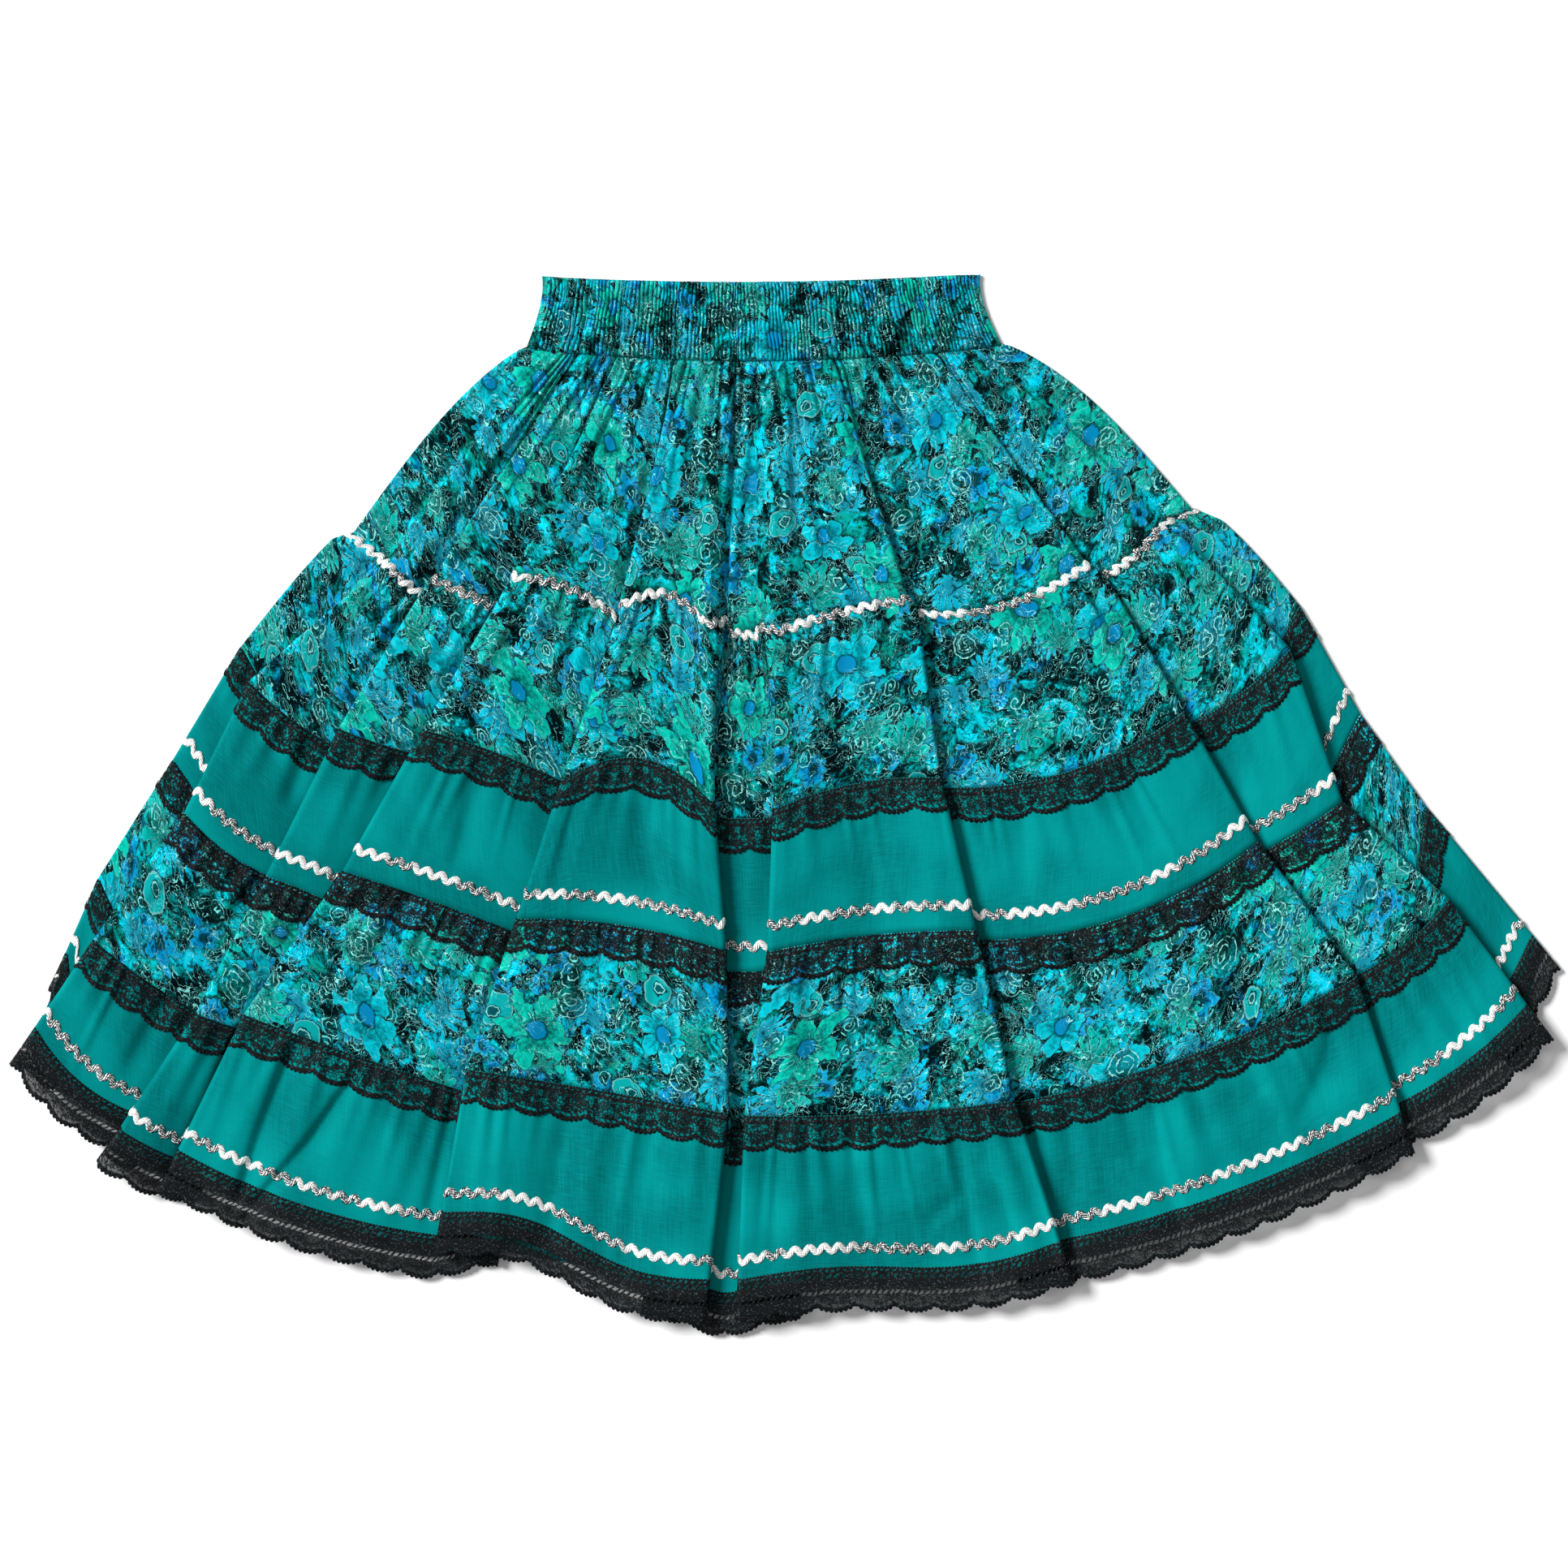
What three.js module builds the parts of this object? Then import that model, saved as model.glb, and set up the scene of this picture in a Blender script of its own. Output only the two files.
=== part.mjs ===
import * as THREE from "three";

// A tiered square dance skirt, laid flat on a table with its front up.
// Millimetres. +X is to the right, +Y is toward the waist and +Z is up from the table.
// Each ring is one closed line round the whole skirt: the folded front, the two side folds and the flat back.
// The tiers are the walls between rings, and the trims follow the same rings, moved out from the wall.

// Thicknesses and clearances.
const CLOTH = 1.1;
const TRIM = 0.6;
const TRIM_CLEARANCE = 0.3;
const SEAM_CLEARANCE = 0.4;

// Heights of the middle of the wall above the table.
const BACK_Z = CLOTH / 2;
const FRONT_Z = 4.2;
const FOLD_RISE = 12;

// A fold is an S of two round bends. Its visible edge stands this far out from where the flap on top starts.
const BEND_STEPS = 5;
const EDGE_SHIFT = 2.5;
const WAIST_OVERLAP = -8;

// At a sharp bend the skins are moved out by up to 1 / MITRE_LIMIT times as far, to keep the wall's thickness.
const MITRE_LIMIT = 0.6;

// Widths and places of the trims.
const RICKRACK_WIDTH = 9;
const LACE_WIDTH = 26;
const LACE_START = 0.3;
const TIER2_RICKRACK_BELOW_SEAM = 3;
const TIER3_RICKRACK_ABOVE_SEAM = 18;
const TIER5_RICKRACK_ABOVE_HEM = 26;
const HEM_LACE_ON_CLOTH = 13;
const HEM_LACE_BELOW = 20;

// How far a gathered tier takes to open out below its seam, and how far the flat back is drawn in from the front.
const GATHER_REACH = 30;
const BACK_DRAWN_IN = 8;

// Each ring's outermost fold edges, the middle of its front, and the two side edges of the garment, as [x, y].
// rise is the share of FOLD_RISE that its folds stand up, shape is its column in the two fold tables below.
const RINGS = {
  waist: { leftFold: [-159, 376], middle: [-15, 373], rightFold: [126, 378],
    leftEdge: [-170, 377], rightEdge: [137, 378], rise: 0.12, shape: 0 },
  elastic: { leftFold: [-169, 324], middle: [-15, 317], rightFold: [141, 326],
    leftEdge: [-181, 326], rightEdge: [152, 328], rise: 0.25, shape: 0 },
  seam12: { leftFold: [-294, 184], middle: [-15, 128], rightFold: [278, 204],
    leftEdge: [-304, 194], rightEdge: [287, 211], rise: 0.96, shape: 0 },
  below12: { leftFold: [-303, 176], middle: [-15, 117], rightFold: [294, 195],
    leftEdge: [-317, 188], rightEdge: [306, 201], rise: 0.96, shape: 0 },
  seam23: { leftFold: [-379, 88], middle: [-21, -2], rightFold: [357, 113],
    leftEdge: [-384, 113], rightEdge: [364, 142], rise: 0.98, shape: 1 },
  seam34: { leftFold: [-423, -2], middle: [-24, -107], rightFold: [393, 6],
    leftEdge: [-432, 33], rightEdge: [407, 65], rise: 1, shape: 2 },
  seam45: { leftFold: [-489, -95], middle: [-31, -218], rightFold: [466, -60],
    leftEdge: [-485, -51], rightEdge: [454, -1], rise: 1, shape: 3 },
  hem: { leftFold: [-536, -165], middle: [-39, -342], rightFold: [532, -149],
    leftEdge: [-513, -115], rightEdge: [537, -101], rise: 1, shape: 4 },
};

// The folds from left to right. share is how far along the front its visible edge lies, and overlap is how many
// millimetres of cloth are tucked under it, at seams 1/2, 2/3, 3/4, 4/5 and the hem. Below 0 it is only a slope.
const FOLDS = [
  { name: "left 1", opens: "left", share: [0.03, 0, 0, 0, 0], overlap: [-8, 6, 22, 26, 30] },
  { name: "left 2", opens: "left", share: [0.087, 0.093, 0.083, 0.087, 0.077], overlap: [6, 14, 16, 9, 18] },
  { name: "left 3", opens: "left", share: [0.177, 0.166, 0.14, 0.118, 0.115], overlap: [8, 16, 20, 22, 22] },
  { name: "left 4", opens: "left", share: [0.311, 0.304, 0.291, 0.28, 0.282], overlap: [8, 20, 30, 36, 40] },
  { name: "valley left", opens: "right", share: [0.42, 0.445, 0.467, 0.467, 0.452], overlap: [-16, 6, 24, 36, 40] },
  { name: "valley right", opens: "left", share: [0.5, 0.5, 0.503, 0.479, 0.471], overlap: [-16, 6, 24, 36, 40] },
  { name: "right 1", opens: "right", share: [0.66, 0.656, 0.677, 0.666, 0.673], overlap: [8, 14, 22, 28, 32] },
  { name: "right 2", opens: "right", share: [0.878, 0.888, 0.923, 0.918, 0.896], overlap: [6, 16, 26, 32, 36] },
  { name: "right 3", opens: "right", share: [0.97, 1, 1, 1, 1], overlap: [-14, 8, 20, 26, 30] },
];

// The flap that follows each fold: its steps, and how far its start, middle and end hang below the ring's own
// arc, in millimetres, at the same five rings. swing drops one half of it and lifts the other, at the hem.
// The last fold has no flap, because the outer piece follows it.
const FLAPS = [
  { steps: 4, hang: [[4, 11, 16], [-1, 8, 13], [2, 12, 15], [-2, 5, 10], [1, 13, 12]] },
  { steps: 3, hang: [[1, 4, 7], [0, -1, -3], [15, 14, 16], [10, 9, 8], [26, 26, 25]] },
  { steps: 8, hang: [[-18, -18, -2], [-21, -20, -9], [-9, -9, -1], [-3, -3, 3], [18, 15, 5]] },
  { steps: 8, hang: [[-13, -24, -5], [-13, -34, -7], [-12, -19, -7], [-14, -14, -3], [-13, -12, 4]], swing: -8 },
  { steps: 2, hang: [[-5, 2, 3], [4, 5, 4], [8, 9, 8], [8, 10, 8], [10, 14, 11]] },
  { steps: 10, hang: [[0, -10, -12], [-2, -15, -10], [-6, -13, -6], [-1, 4, 11], [3, 0, 2]], swing: -5 },
  { steps: 10, hang: [[-4, 8, 0], [-3, 10, 2], [1, 12, -1], [13, 17, 17], [2, 6, 10]] },
  { steps: 5, hang: [[11, 9, -1], [12, 9, 1], [7, 5, 2], [17, 15, 6], [5, 6, 0]] },
];
const OUTER_STEPS = 3;
const TURN_STEPS = 2;
const BACK_STEPS = 10;
const FLAP_SAG = 5;
const TUCKED_SHORTER = 3;

// The rows of points from the waist to the hem. Each lies between two rings, or a distance below the first one.
// gather is the height of its gathers and puff lifts the cloth between two lines of elastic.
const ROWS = [
  { name: "waist", from: "waist", gather: 0.5 },
  { name: "channel 1", from: "waist", to: "elastic", part: 0.35, gather: 0.8, puff: 1.2 },
  { name: "channel 2", from: "waist", to: "elastic", part: 0.7, gather: 0.8, puff: 1.2 },
  { name: "elastic", from: "elastic", gather: 0.8 },
  { name: "tier 1 upper", from: "elastic", to: "seam12", part: 0.25, gather: 1.6 },
  { name: "tier 1 lower", from: "elastic", to: "seam12", part: 0.65, gather: 1.4 },
  { name: "seam12", from: "seam12", gather: 0.5 },
  { name: "below12", from: "below12", gather: 1.5 },
  { name: "tier 2 lower", from: "below12", to: "seam23", part: 0.5, gather: 1.4 },
  { name: "seam23", from: "seam23", gather: 0.5 },
  { name: "below23", from: "seam23", to: "seam34", below: GATHER_REACH, gather: 1.1 },
  { name: "seam34", from: "seam34", gather: 0.5 },
  { name: "below34", from: "seam34", to: "seam45", below: GATHER_REACH, gather: 1.5 },
  { name: "seam45", from: "seam45", gather: 0.5 },
  { name: "below45", from: "seam45", to: "hem", below: GATHER_REACH, gather: 1.1 },
  { name: "hem", from: "hem", gather: 0.3 },
];

const TIERS = [
  { node: "waistband", from: "waist", to: "elastic", finish: "print" },
  { node: "tier_1", from: "elastic", to: "seam12", finish: "print" },
  { node: "tier_2", from: "seam12", to: "seam23", finish: "print" },
  { node: "tier_3", from: "seam23", to: "seam34", finish: "plain" },
  { node: "tier_4", from: "seam34", to: "seam45", finish: "print" },
  { node: "tier_5", from: "seam45", to: "hem", finish: "plain" },
];

// A trim runs from one distance below its row to another. A distance above the row is negative.
const TRIMS = [
  { node: "rickrack_1", row: "seam12", top: TIER2_RICKRACK_BELOW_SEAM - RICKRACK_WIDTH / 2,
    bottom: TIER2_RICKRACK_BELOW_SEAM + RICKRACK_WIDTH / 2, finish: "silver" },
  { node: "lace_1", row: "seam23", top: LACE_START, bottom: LACE_WIDTH, finish: "lace" },
  { node: "rickrack_2", row: "seam34", top: -TIER3_RICKRACK_ABOVE_SEAM - RICKRACK_WIDTH / 2,
    bottom: -TIER3_RICKRACK_ABOVE_SEAM + RICKRACK_WIDTH / 2, finish: "silver" },
  { node: "lace_2", row: "seam34", top: LACE_START, bottom: LACE_WIDTH, finish: "lace" },
  { node: "lace_3", row: "seam45", top: LACE_START, bottom: LACE_WIDTH, finish: "lace" },
  { node: "rickrack_3", row: "hem", top: -TIER5_RICKRACK_ABOVE_HEM - RICKRACK_WIDTH / 2,
    bottom: -TIER5_RICKRACK_ABOVE_HEM + RICKRACK_WIDTH / 2, finish: "silver" },
  { node: "lace_4", row: "hem", top: -HEM_LACE_ON_CLOTH, bottom: HEM_LACE_BELOW, finish: "lace" },
];

const FINISHES = {
  print: { color: 0x0a8f96, roughness: 0.75, metalness: 0 },
  plain: { color: 0x07907f, roughness: 0.8, metalness: 0 },
  lace: { color: 0x0b0c0e, roughness: 0.7, metalness: 0 },
  silver: { color: 0xc9ccca, roughness: 0.35, metalness: 0.8 },
};

const mix = (a, b, part) => a + (b - a) * part;

// The circle through a ring's two outer fold edges and its middle, with the lowest point of the front below it.
function arcThrough([ax, ay], [bx, by], [cx, cy]) {
  const d = 2 * (ax * (by - cy) + bx * (cy - ay) + cx * (ay - by));
  const a2 = ax * ax + ay * ay;
  const b2 = bx * bx + by * by;
  const c2 = cx * cx + cy * cy;
  const x = (a2 * (by - cy) + b2 * (cy - ay) + c2 * (ay - by)) / d;
  const y = (a2 * (cx - bx) + b2 * (ax - cx) + c2 * (bx - ax)) / d;
  const radius = Math.hypot(ax - x, ay - y);
  const start = Math.atan2(ax - x, y - ay);
  const end = Math.atan2(cx - x, y - cy);
  const length = radius * (end - start);
  // along is in millimetres from the left fold edge, hang is in millimetres below the arc
  function at(along, hang) {
    const angle = start + along / radius;
    const reach = radius + hang;
    return {
      x: x + reach * Math.sin(angle),
      y: y - reach * Math.cos(angle),
      forward: new THREE.Vector2(Math.cos(angle), Math.sin(angle)),
    };
  }
  return { at, length };
}

// A smooth value through a flap's start, middle and end.
function throughThree([start, middle, end], part) {
  const left = 2 * (part - 0.5) * (part - 1);
  const centre = -4 * part * (part - 1);
  const right = 2 * part * (part - 0.5);
  return start * left + middle * centre + end * right;
}

// A fold from its tucked end up to its flap, as [distance inward from the start of the flap, height].
// With cloth tucked under it is two round bends, one above the other, and otherwise a smooth slope.
function foldProfile(overlap, rise) {
  if (overlap < 0) {
    const parts = Array.from({ length: BEND_STEPS + 1 }, (_, i) => i / BEND_STEPS);
    return parts.map((t) => [overlap * (1 - t), rise * THREE.MathUtils.smoothstep(t, 0, 1)]);
  }
  const bend = rise / 4;
  const third = Math.PI / 3;
  const side = bend * Math.sin(third);
  const low = bend * (1 - Math.cos(third));
  const high = bend * (1 + Math.cos(third));
  return [
    [overlap, 0],
    [overlap + side, low],
    [overlap + side, high],
    [-side, rise - high],
    [-side, rise - low],
    [0, rise],
  ];
}

// The outward direction of a side edge, square to the line that the edges of the neighbouring rings make.
function edgeDirection(name, side, sign) {
  const names = Object.keys(RINGS);
  const i = names.indexOf(name);
  const above = RINGS[names[Math.max(i - 1, 0)]][side];
  const below = RINGS[names[Math.min(i + 1, names.length - 1)]][side];
  return new THREE.Vector2(below[1] - above[1], above[0] - below[0]).normalize().multiplyScalar(sign);
}

// One ring as a list of points. Each has its place, its forward direction and whether gathers move it.
function makeRing(name) {
  const ring = RINGS[name];
  const arc = arcThrough(ring.leftFold, ring.middle, ring.rightFold);
  const rise = FOLD_RISE * ring.rise;
  const gathered = name === "waist" || name === "elastic";
  const swings = name === "hem" ? 1 : 0;
  const hangAt = (flap, part) => {
    if (gathered) return 0;
    const swing = swings * (FLAPS[flap].swing ?? 0) * Math.sin(2 * Math.PI * part);
    return throughThree(FLAPS[flap].hang[ring.shape], part) + swing;
  };
  // the tucked end of a fold hangs a little shorter than both its flaps, so it stays hidden
  const tuckedHang = (fold) => {
    const before = hangAt(Math.max(fold - 1, 0), fold > 0 ? 1 : 0);
    const after = hangAt(Math.min(fold, FLAPS.length - 1), fold < FLAPS.length ? 0 : 1);
    return Math.min(before, after) - (gathered ? 0 : TUCKED_SHORTER);
  };
  const folds = FOLDS.map((fold) => {
    const overlap = gathered ? WAIST_OVERLAP : fold.overlap[ring.shape];
    const inward = fold.opens === "left" ? 1 : -1;
    const edge = fold.share[ring.shape] * arc.length + inward * EDGE_SHIFT;
    return { opens: fold.opens, inward, overlap, top: edge, tucked: edge + inward * overlap };
  });
  const points = [];
  const add = (place, z, wave = 0) => points.push({ ...place, z, wave });

  // the side fold, turning up from the back
  function addTurn([x, y], outward, fromZ, toZ) {
    const radius = (toZ - fromZ) / 2;
    const forward = outward.clone().multiplyScalar(fromZ < toZ ? -1 : 1);
    for (let i = 0; i < TURN_STEPS; i++) {
      const angle = (Math.PI * i) / TURN_STEPS;
      const out = Math.abs(radius) * Math.sin(angle);
      add({ x: x + outward.x * out, y: y + outward.y * out, forward }, fromZ + radius * (1 - Math.cos(angle)));
    }
  }

  // the outer piece, from the side edge to where it is tucked under the first fold, or from the last fold out
  function addOuter([ex, ey], tucked, hang, leaving) {
    const inner = arc.at(tucked, hang);
    const forward = new THREE.Vector2(inner.x - ex, inner.y - ey).normalize();
    if (leaving) forward.multiplyScalar(-1);
    for (let i = 0; i < OUTER_STEPS; i++) {
      const part = leaving ? 1 - i / OUTER_STEPS : i / OUTER_STEPS;
      const place = { x: mix(ex, inner.x, part), y: mix(ey, inner.y, part), forward };
      add(place, FRONT_Z);
    }
  }

  // the S of a fold, between the flaps on its two sides
  function addFold(index) {
    const fold = folds[index];
    const opensRight = fold.opens === "right";
    const topHang = opensRight ? hangAt(index - 1, 1) : hangAt(index, 0);
    const profile = foldProfile(fold.overlap, rise);
    if (opensRight) profile.reverse();
    for (let i = 0; i < BEND_STEPS; i++) {
      const [inward, height] = profile[i];
      const up = opensRight ? 1 - i / BEND_STEPS : i / BEND_STEPS;
      const place = arc.at(fold.top + fold.inward * inward, mix(tuckedHang(index), topHang, up));
      add(place, FRONT_Z + height);
    }
  }

  // a flap between two folds, sagging where nothing is tucked under it
  function addFlap(index) {
    const left = folds[index];
    const right = folds[index + 1];
    const onTop = left.opens === "left";
    const staysUp = right.opens === "right";
    const from = onTop ? left.top : left.tucked;
    const to = staysUp ? right.top : right.tucked;
    const clearFrom = Math.max(left.inward * left.overlap, 0);
    const clearTo = Math.max(-right.inward * right.overlap, 0);
    // height above the low pieces: down on one side, down on the other, up on both with a sag, or low throughout
    const heightAt = (along) => {
      const across = THREE.MathUtils.clamp((along - left.top) / (right.top - left.top), 0, 1);
      const open = (along - from - clearFrom) / (to - from - clearFrom - clearTo);
      const middle = THREE.MathUtils.clamp(open, 0, 1);
      if (onTop && staysUp) return rise - FLAP_SAG * ring.rise * 4 * middle * (1 - middle);
      if (onTop) return rise * (1 - across * across);
      if (staysUp) return rise * (1 - (1 - across) * (1 - across));
      return 0;
    };
    const hangOf = (along) => {
      const across = (along - left.top) / (right.top - left.top);
      const shown = hangAt(index, THREE.MathUtils.clamp(across, 0, 1));
      if (across < 0) return mix(shown, tuckedHang(index), (left.top - along) / Math.abs(left.overlap));
      if (across > 1) return mix(shown, tuckedHang(index + 1), (along - right.top) / Math.abs(right.overlap));
      return shown;
    };
    const steps = FLAPS[index].steps;
    for (let i = 0; i < steps; i++) {
      const part = i / steps;
      const along = mix(from, to, part);
      const wave = i === 0 ? 0 : i % 2 ? 1 : -1;
      add(arc.at(along, hangOf(along)), FRONT_Z + heightAt(along), wave * Math.sin(Math.PI * part));
    }
  }

  addTurn(ring.leftEdge, edgeDirection(name, "leftEdge", 1), BACK_Z, FRONT_Z);
  addOuter(ring.leftEdge, folds[0].tucked, tuckedHang(0), false);
  for (let i = 0; i < FOLDS.length; i++) {
    addFold(i);
    if (i < FLAPS.length) addFlap(i);
  }
  addOuter(ring.rightEdge, folds[FOLDS.length - 1].tucked, tuckedHang(FOLDS.length - 1), true);
  addTurn(ring.rightEdge, edgeDirection(name, "rightEdge", -1), FRONT_Z, BACK_Z);

  // the flat back, from the right edge to the left one, with its points closer near the edges
  for (let i = 0; i < BACK_STEPS; i++) {
    const part = (1 + Math.cos((Math.PI * i) / BACK_STEPS)) / 2;
    const place = arc.at(arc.length * part, gathered ? 0 : -BACK_DRAWN_IN);
    if (i === 0) [place.x, place.y] = ring.rightEdge;
    add(place, BACK_Z);
  }
  return points;
}

// The columns that trims follow: the whole front, and just round the two side folds.
const FRONT_STEPS = FLAPS.reduce((sum, flap) => sum + flap.steps, 0) + FOLDS.length * BEND_STEPS + 2 * OUTER_STEPS;
const TRIM_FIRST = 1;
const TRIM_LAST = TURN_STEPS + FRONT_STEPS + 1;

const rings = Object.fromEntries(Object.keys(RINGS).map((name) => [name, makeRing(name)]));

// A point between two others, column by column.
function between(a, b, part) {
  return {
    x: mix(a.x, b.x, part),
    y: mix(a.y, b.y, part),
    z: mix(a.z, b.z, part),
    forward: a.forward.clone().lerp(b.forward, part).normalize(),
    wave: mix(a.wave, b.wave, part),
  };
}

const distance = (a, b) => Math.hypot(a.x - b.x, a.y - b.y, a.z - b.z);

const isBack = (column) => column >= TURN_STEPS * 2 + FRONT_STEPS || column === 0;

// Adds to each point the direction out of the cloth, square to the ring and to the way the tier falls.
function withNormals(points) {
  const count = points.length;
  return points.map((point, j) => {
    const before = points[(j + count - 1) % count];
    const after = points[(j + 1) % count];
    const normal = new THREE.Vector2();
    for (const [a, b] of [[before, point], [point, after]]) {
      const along = (b.x - a.x) * point.forward.x + (b.y - a.y) * point.forward.y;
      normal.add(new THREE.Vector2(-(b.z - a.z), along).normalize());
    }
    const spread = Math.max(normal.length() / 2, MITRE_LIMIT);
    normal.normalize().divideScalar(spread);
    const flat = isBack(j) ? 0 : normal.x;
    const up = isBack(j) ? -1 : normal.y;
    return { ...point, out: new THREE.Vector3(point.forward.x * flat, point.forward.y * flat, up) };
  });
}

function makeRow(row) {
  const a = rings[row.from];
  const b = rings[row.to ?? row.from];
  const points = a.map((point, j) => {
    const part = row.below ? row.below / distance(point, b[j]) : (row.part ?? 0);
    const made = between(point, b[j], part);
    if (!isBack(j)) made.z += made.wave * row.gather;
    if (!isBack(j) && j > TURN_STEPS && j < TURN_STEPS + FRONT_STEPS) made.z += row.puff ?? 0;
    return made;
  });
  return withNormals(points);
}

const rows = ROWS.map(makeRow);
const rowIndex = (name) => ROWS.findIndex((row) => row.name === name);

// The row a number of millimetres below row i along each column, or above it if below is negative.
function rowAt(i, below) {
  const last = rows.length - 1;
  const beyond = i === last && below > 0;
  const neighbour = beyond ? last - 1 : i + Math.sign(below);
  const sign = beyond ? -1 : 1;
  return rows[i].map((point, j) => {
    const other = rows[neighbour][j];
    const part = (sign * Math.abs(below)) / distance(point, other);
    const made = between(point, other, part);
    made.out = point.out.clone().lerp(other.out, THREE.MathUtils.clamp(part, 0, 1));
    return made;
  });
}

const movedOut = (point, amount) => [
  point.x + point.out.x * amount,
  point.y + point.out.y * amount,
  point.z + point.out.z * amount,
];

// Whether the line from a to c passes further out of the cloth than the one from b to d.
function bulgesOut(a, b, c, d) {
  const twist = new THREE.Vector3(a.x + c.x - b.x - d.x, a.y + c.y - b.y - d.y, a.z + c.z - b.z - d.z);
  return twist.dot(a.out) > 0;
}

// A closed mesh from a grid of rows: an outer skin, an inner skin and the rims that join them.
// A twisted quad is split along its inner diagonal in a tier and its outer one in a trim, so a trim stays clear.
function wallGeometry(grid, outer, inner, closed) {
  const height = grid.length;
  const width = grid[0].length;
  const positions = [];
  for (const amount of [outer, inner]) {
    for (const row of grid) {
      for (const point of row) positions.push(...movedOut(point, amount));
    }
  }
  const index = [];
  const at = (skin, row, column) => (skin * height + row) * width + (column % width);
  const quad = (a, b, c, d) => index.push(a, b, c, a, c, d);
  const steps = closed ? width : width - 1;
  for (let j = 0; j < steps; j++) {
    const k = (j + 1) % width;
    for (let i = 0; i + 1 < height; i++) {
      const firstIsOut = bulgesOut(grid[i][j], grid[i + 1][j], grid[i + 1][k], grid[i][k]);
      if (firstIsOut === closed) {
        quad(at(0, i + 1, j), at(0, i + 1, j + 1), at(0, i, j + 1), at(0, i, j));
        quad(at(1, i, j + 1), at(1, i + 1, j + 1), at(1, i + 1, j), at(1, i, j));
      } else {
        quad(at(0, i, j), at(0, i + 1, j), at(0, i + 1, j + 1), at(0, i, j + 1));
        quad(at(1, i, j), at(1, i, j + 1), at(1, i + 1, j + 1), at(1, i + 1, j));
      }
    }
    quad(at(0, 0, j), at(0, 0, j + 1), at(1, 0, j + 1), at(1, 0, j));
    quad(at(0, height - 1, j), at(1, height - 1, j), at(1, height - 1, j + 1), at(0, height - 1, j + 1));
  }
  if (!closed) {
    for (let i = 0; i + 1 < height; i++) {
      quad(at(0, i, 0), at(1, i, 0), at(1, i + 1, 0), at(0, i + 1, 0));
      quad(at(0, i, steps), at(0, i + 1, steps), at(1, i + 1, steps), at(1, i, steps));
    }
  }
  const geometry = new THREE.BufferGeometry();
  geometry.setAttribute("position", new THREE.Float32BufferAttribute(positions, 3));
  geometry.setIndex(index);
  geometry.computeVertexNormals();
  return geometry;
}

function tierGrid({ from, to }) {
  const first = rowIndex(from);
  const last = rowIndex(to);
  const top = first === 0 ? rows[0] : rowAt(first, SEAM_CLEARANCE / 2);
  const bottom = last === rows.length - 1 ? rows[last] : rowAt(last, -SEAM_CLEARANCE / 2);
  return [top, ...rows.slice(first + 1, last), bottom];
}

function trimGrid({ row, top, bottom }) {
  const i = rowIndex(row);
  const crosses = top < 0 && bottom > 0;
  const middle = crosses ? [rows[i]] : [];
  const grid = [rowAt(i, top), ...middle, rowAt(i, bottom)];
  return grid.map((points) => points.slice(TRIM_FIRST, TRIM_LAST + 1));
}

const skirt = new THREE.Group();

function addPiece(node, geometry, finish) {
  const mesh = new THREE.Mesh(geometry, new THREE.MeshStandardMaterial(FINISHES[finish]));
  mesh.name = node;
  skirt.add(mesh);
}

for (const tier of TIERS) {
  addPiece(tier.node, wallGeometry(tierGrid(tier), CLOTH / 2, -CLOTH / 2, true), tier.finish);
}
const trimInner = CLOTH / 2 + TRIM_CLEARANCE;
for (const trim of TRIMS) {
  addPiece(trim.node, wallGeometry(trimGrid(trim), trimInner + TRIM, trimInner, false), trim.finish);
}

// The origin is on the table, under the middle of the skirt's outline.
const outline = new THREE.Box3().setFromObject(skirt);
const centre = outline.getCenter(new THREE.Vector3());
skirt.position.set(-centre.x, -centre.y, -outline.min.z);

export default skirt;
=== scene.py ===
# %% [markdown]
# # A tiered square dance skirt, laid flat
# The real skirt is a shirred elastic waist with five gathered tiers of light cotton below it. Three
# tiers are printed and two are plain teal. Black lace covers three of the seams and edges the hem,
# and silver rickrack runs round three of the tiers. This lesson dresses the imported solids: it makes
# each piece again as fine cloth on the same lines, and gives each its own procedural finish.

# %% Load the fixed frame
import math

import bpy
import numpy as np
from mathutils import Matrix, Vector


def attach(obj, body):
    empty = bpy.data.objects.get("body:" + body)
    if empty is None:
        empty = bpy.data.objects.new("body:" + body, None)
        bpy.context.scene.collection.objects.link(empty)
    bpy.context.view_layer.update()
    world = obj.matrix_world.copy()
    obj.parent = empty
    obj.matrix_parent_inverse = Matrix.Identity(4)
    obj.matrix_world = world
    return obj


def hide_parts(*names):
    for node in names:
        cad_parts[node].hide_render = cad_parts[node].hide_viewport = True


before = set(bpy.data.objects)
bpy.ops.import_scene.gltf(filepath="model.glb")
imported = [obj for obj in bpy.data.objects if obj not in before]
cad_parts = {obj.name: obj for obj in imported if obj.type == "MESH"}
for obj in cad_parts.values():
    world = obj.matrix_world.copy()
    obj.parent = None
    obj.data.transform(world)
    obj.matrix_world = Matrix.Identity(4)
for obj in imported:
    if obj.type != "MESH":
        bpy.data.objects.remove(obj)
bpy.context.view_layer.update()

MM = 0.001

# %% [markdown]
# ## The lines round the skirt
# A tier is a tube of cloth. Each seam and edge of it is one closed line: across the folded front,
# round the side fold, back along the flat underside and round the other side. The seams run in arcs
# because the skirt flares. The lines could be drawn as curves by hand, but a circle through three
# points and a table of folds says the same in fewer numbers, and every tier then meets its
# neighbour exactly. Sizes are millimetres on the table, with X to the right and Y toward the waist.

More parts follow.
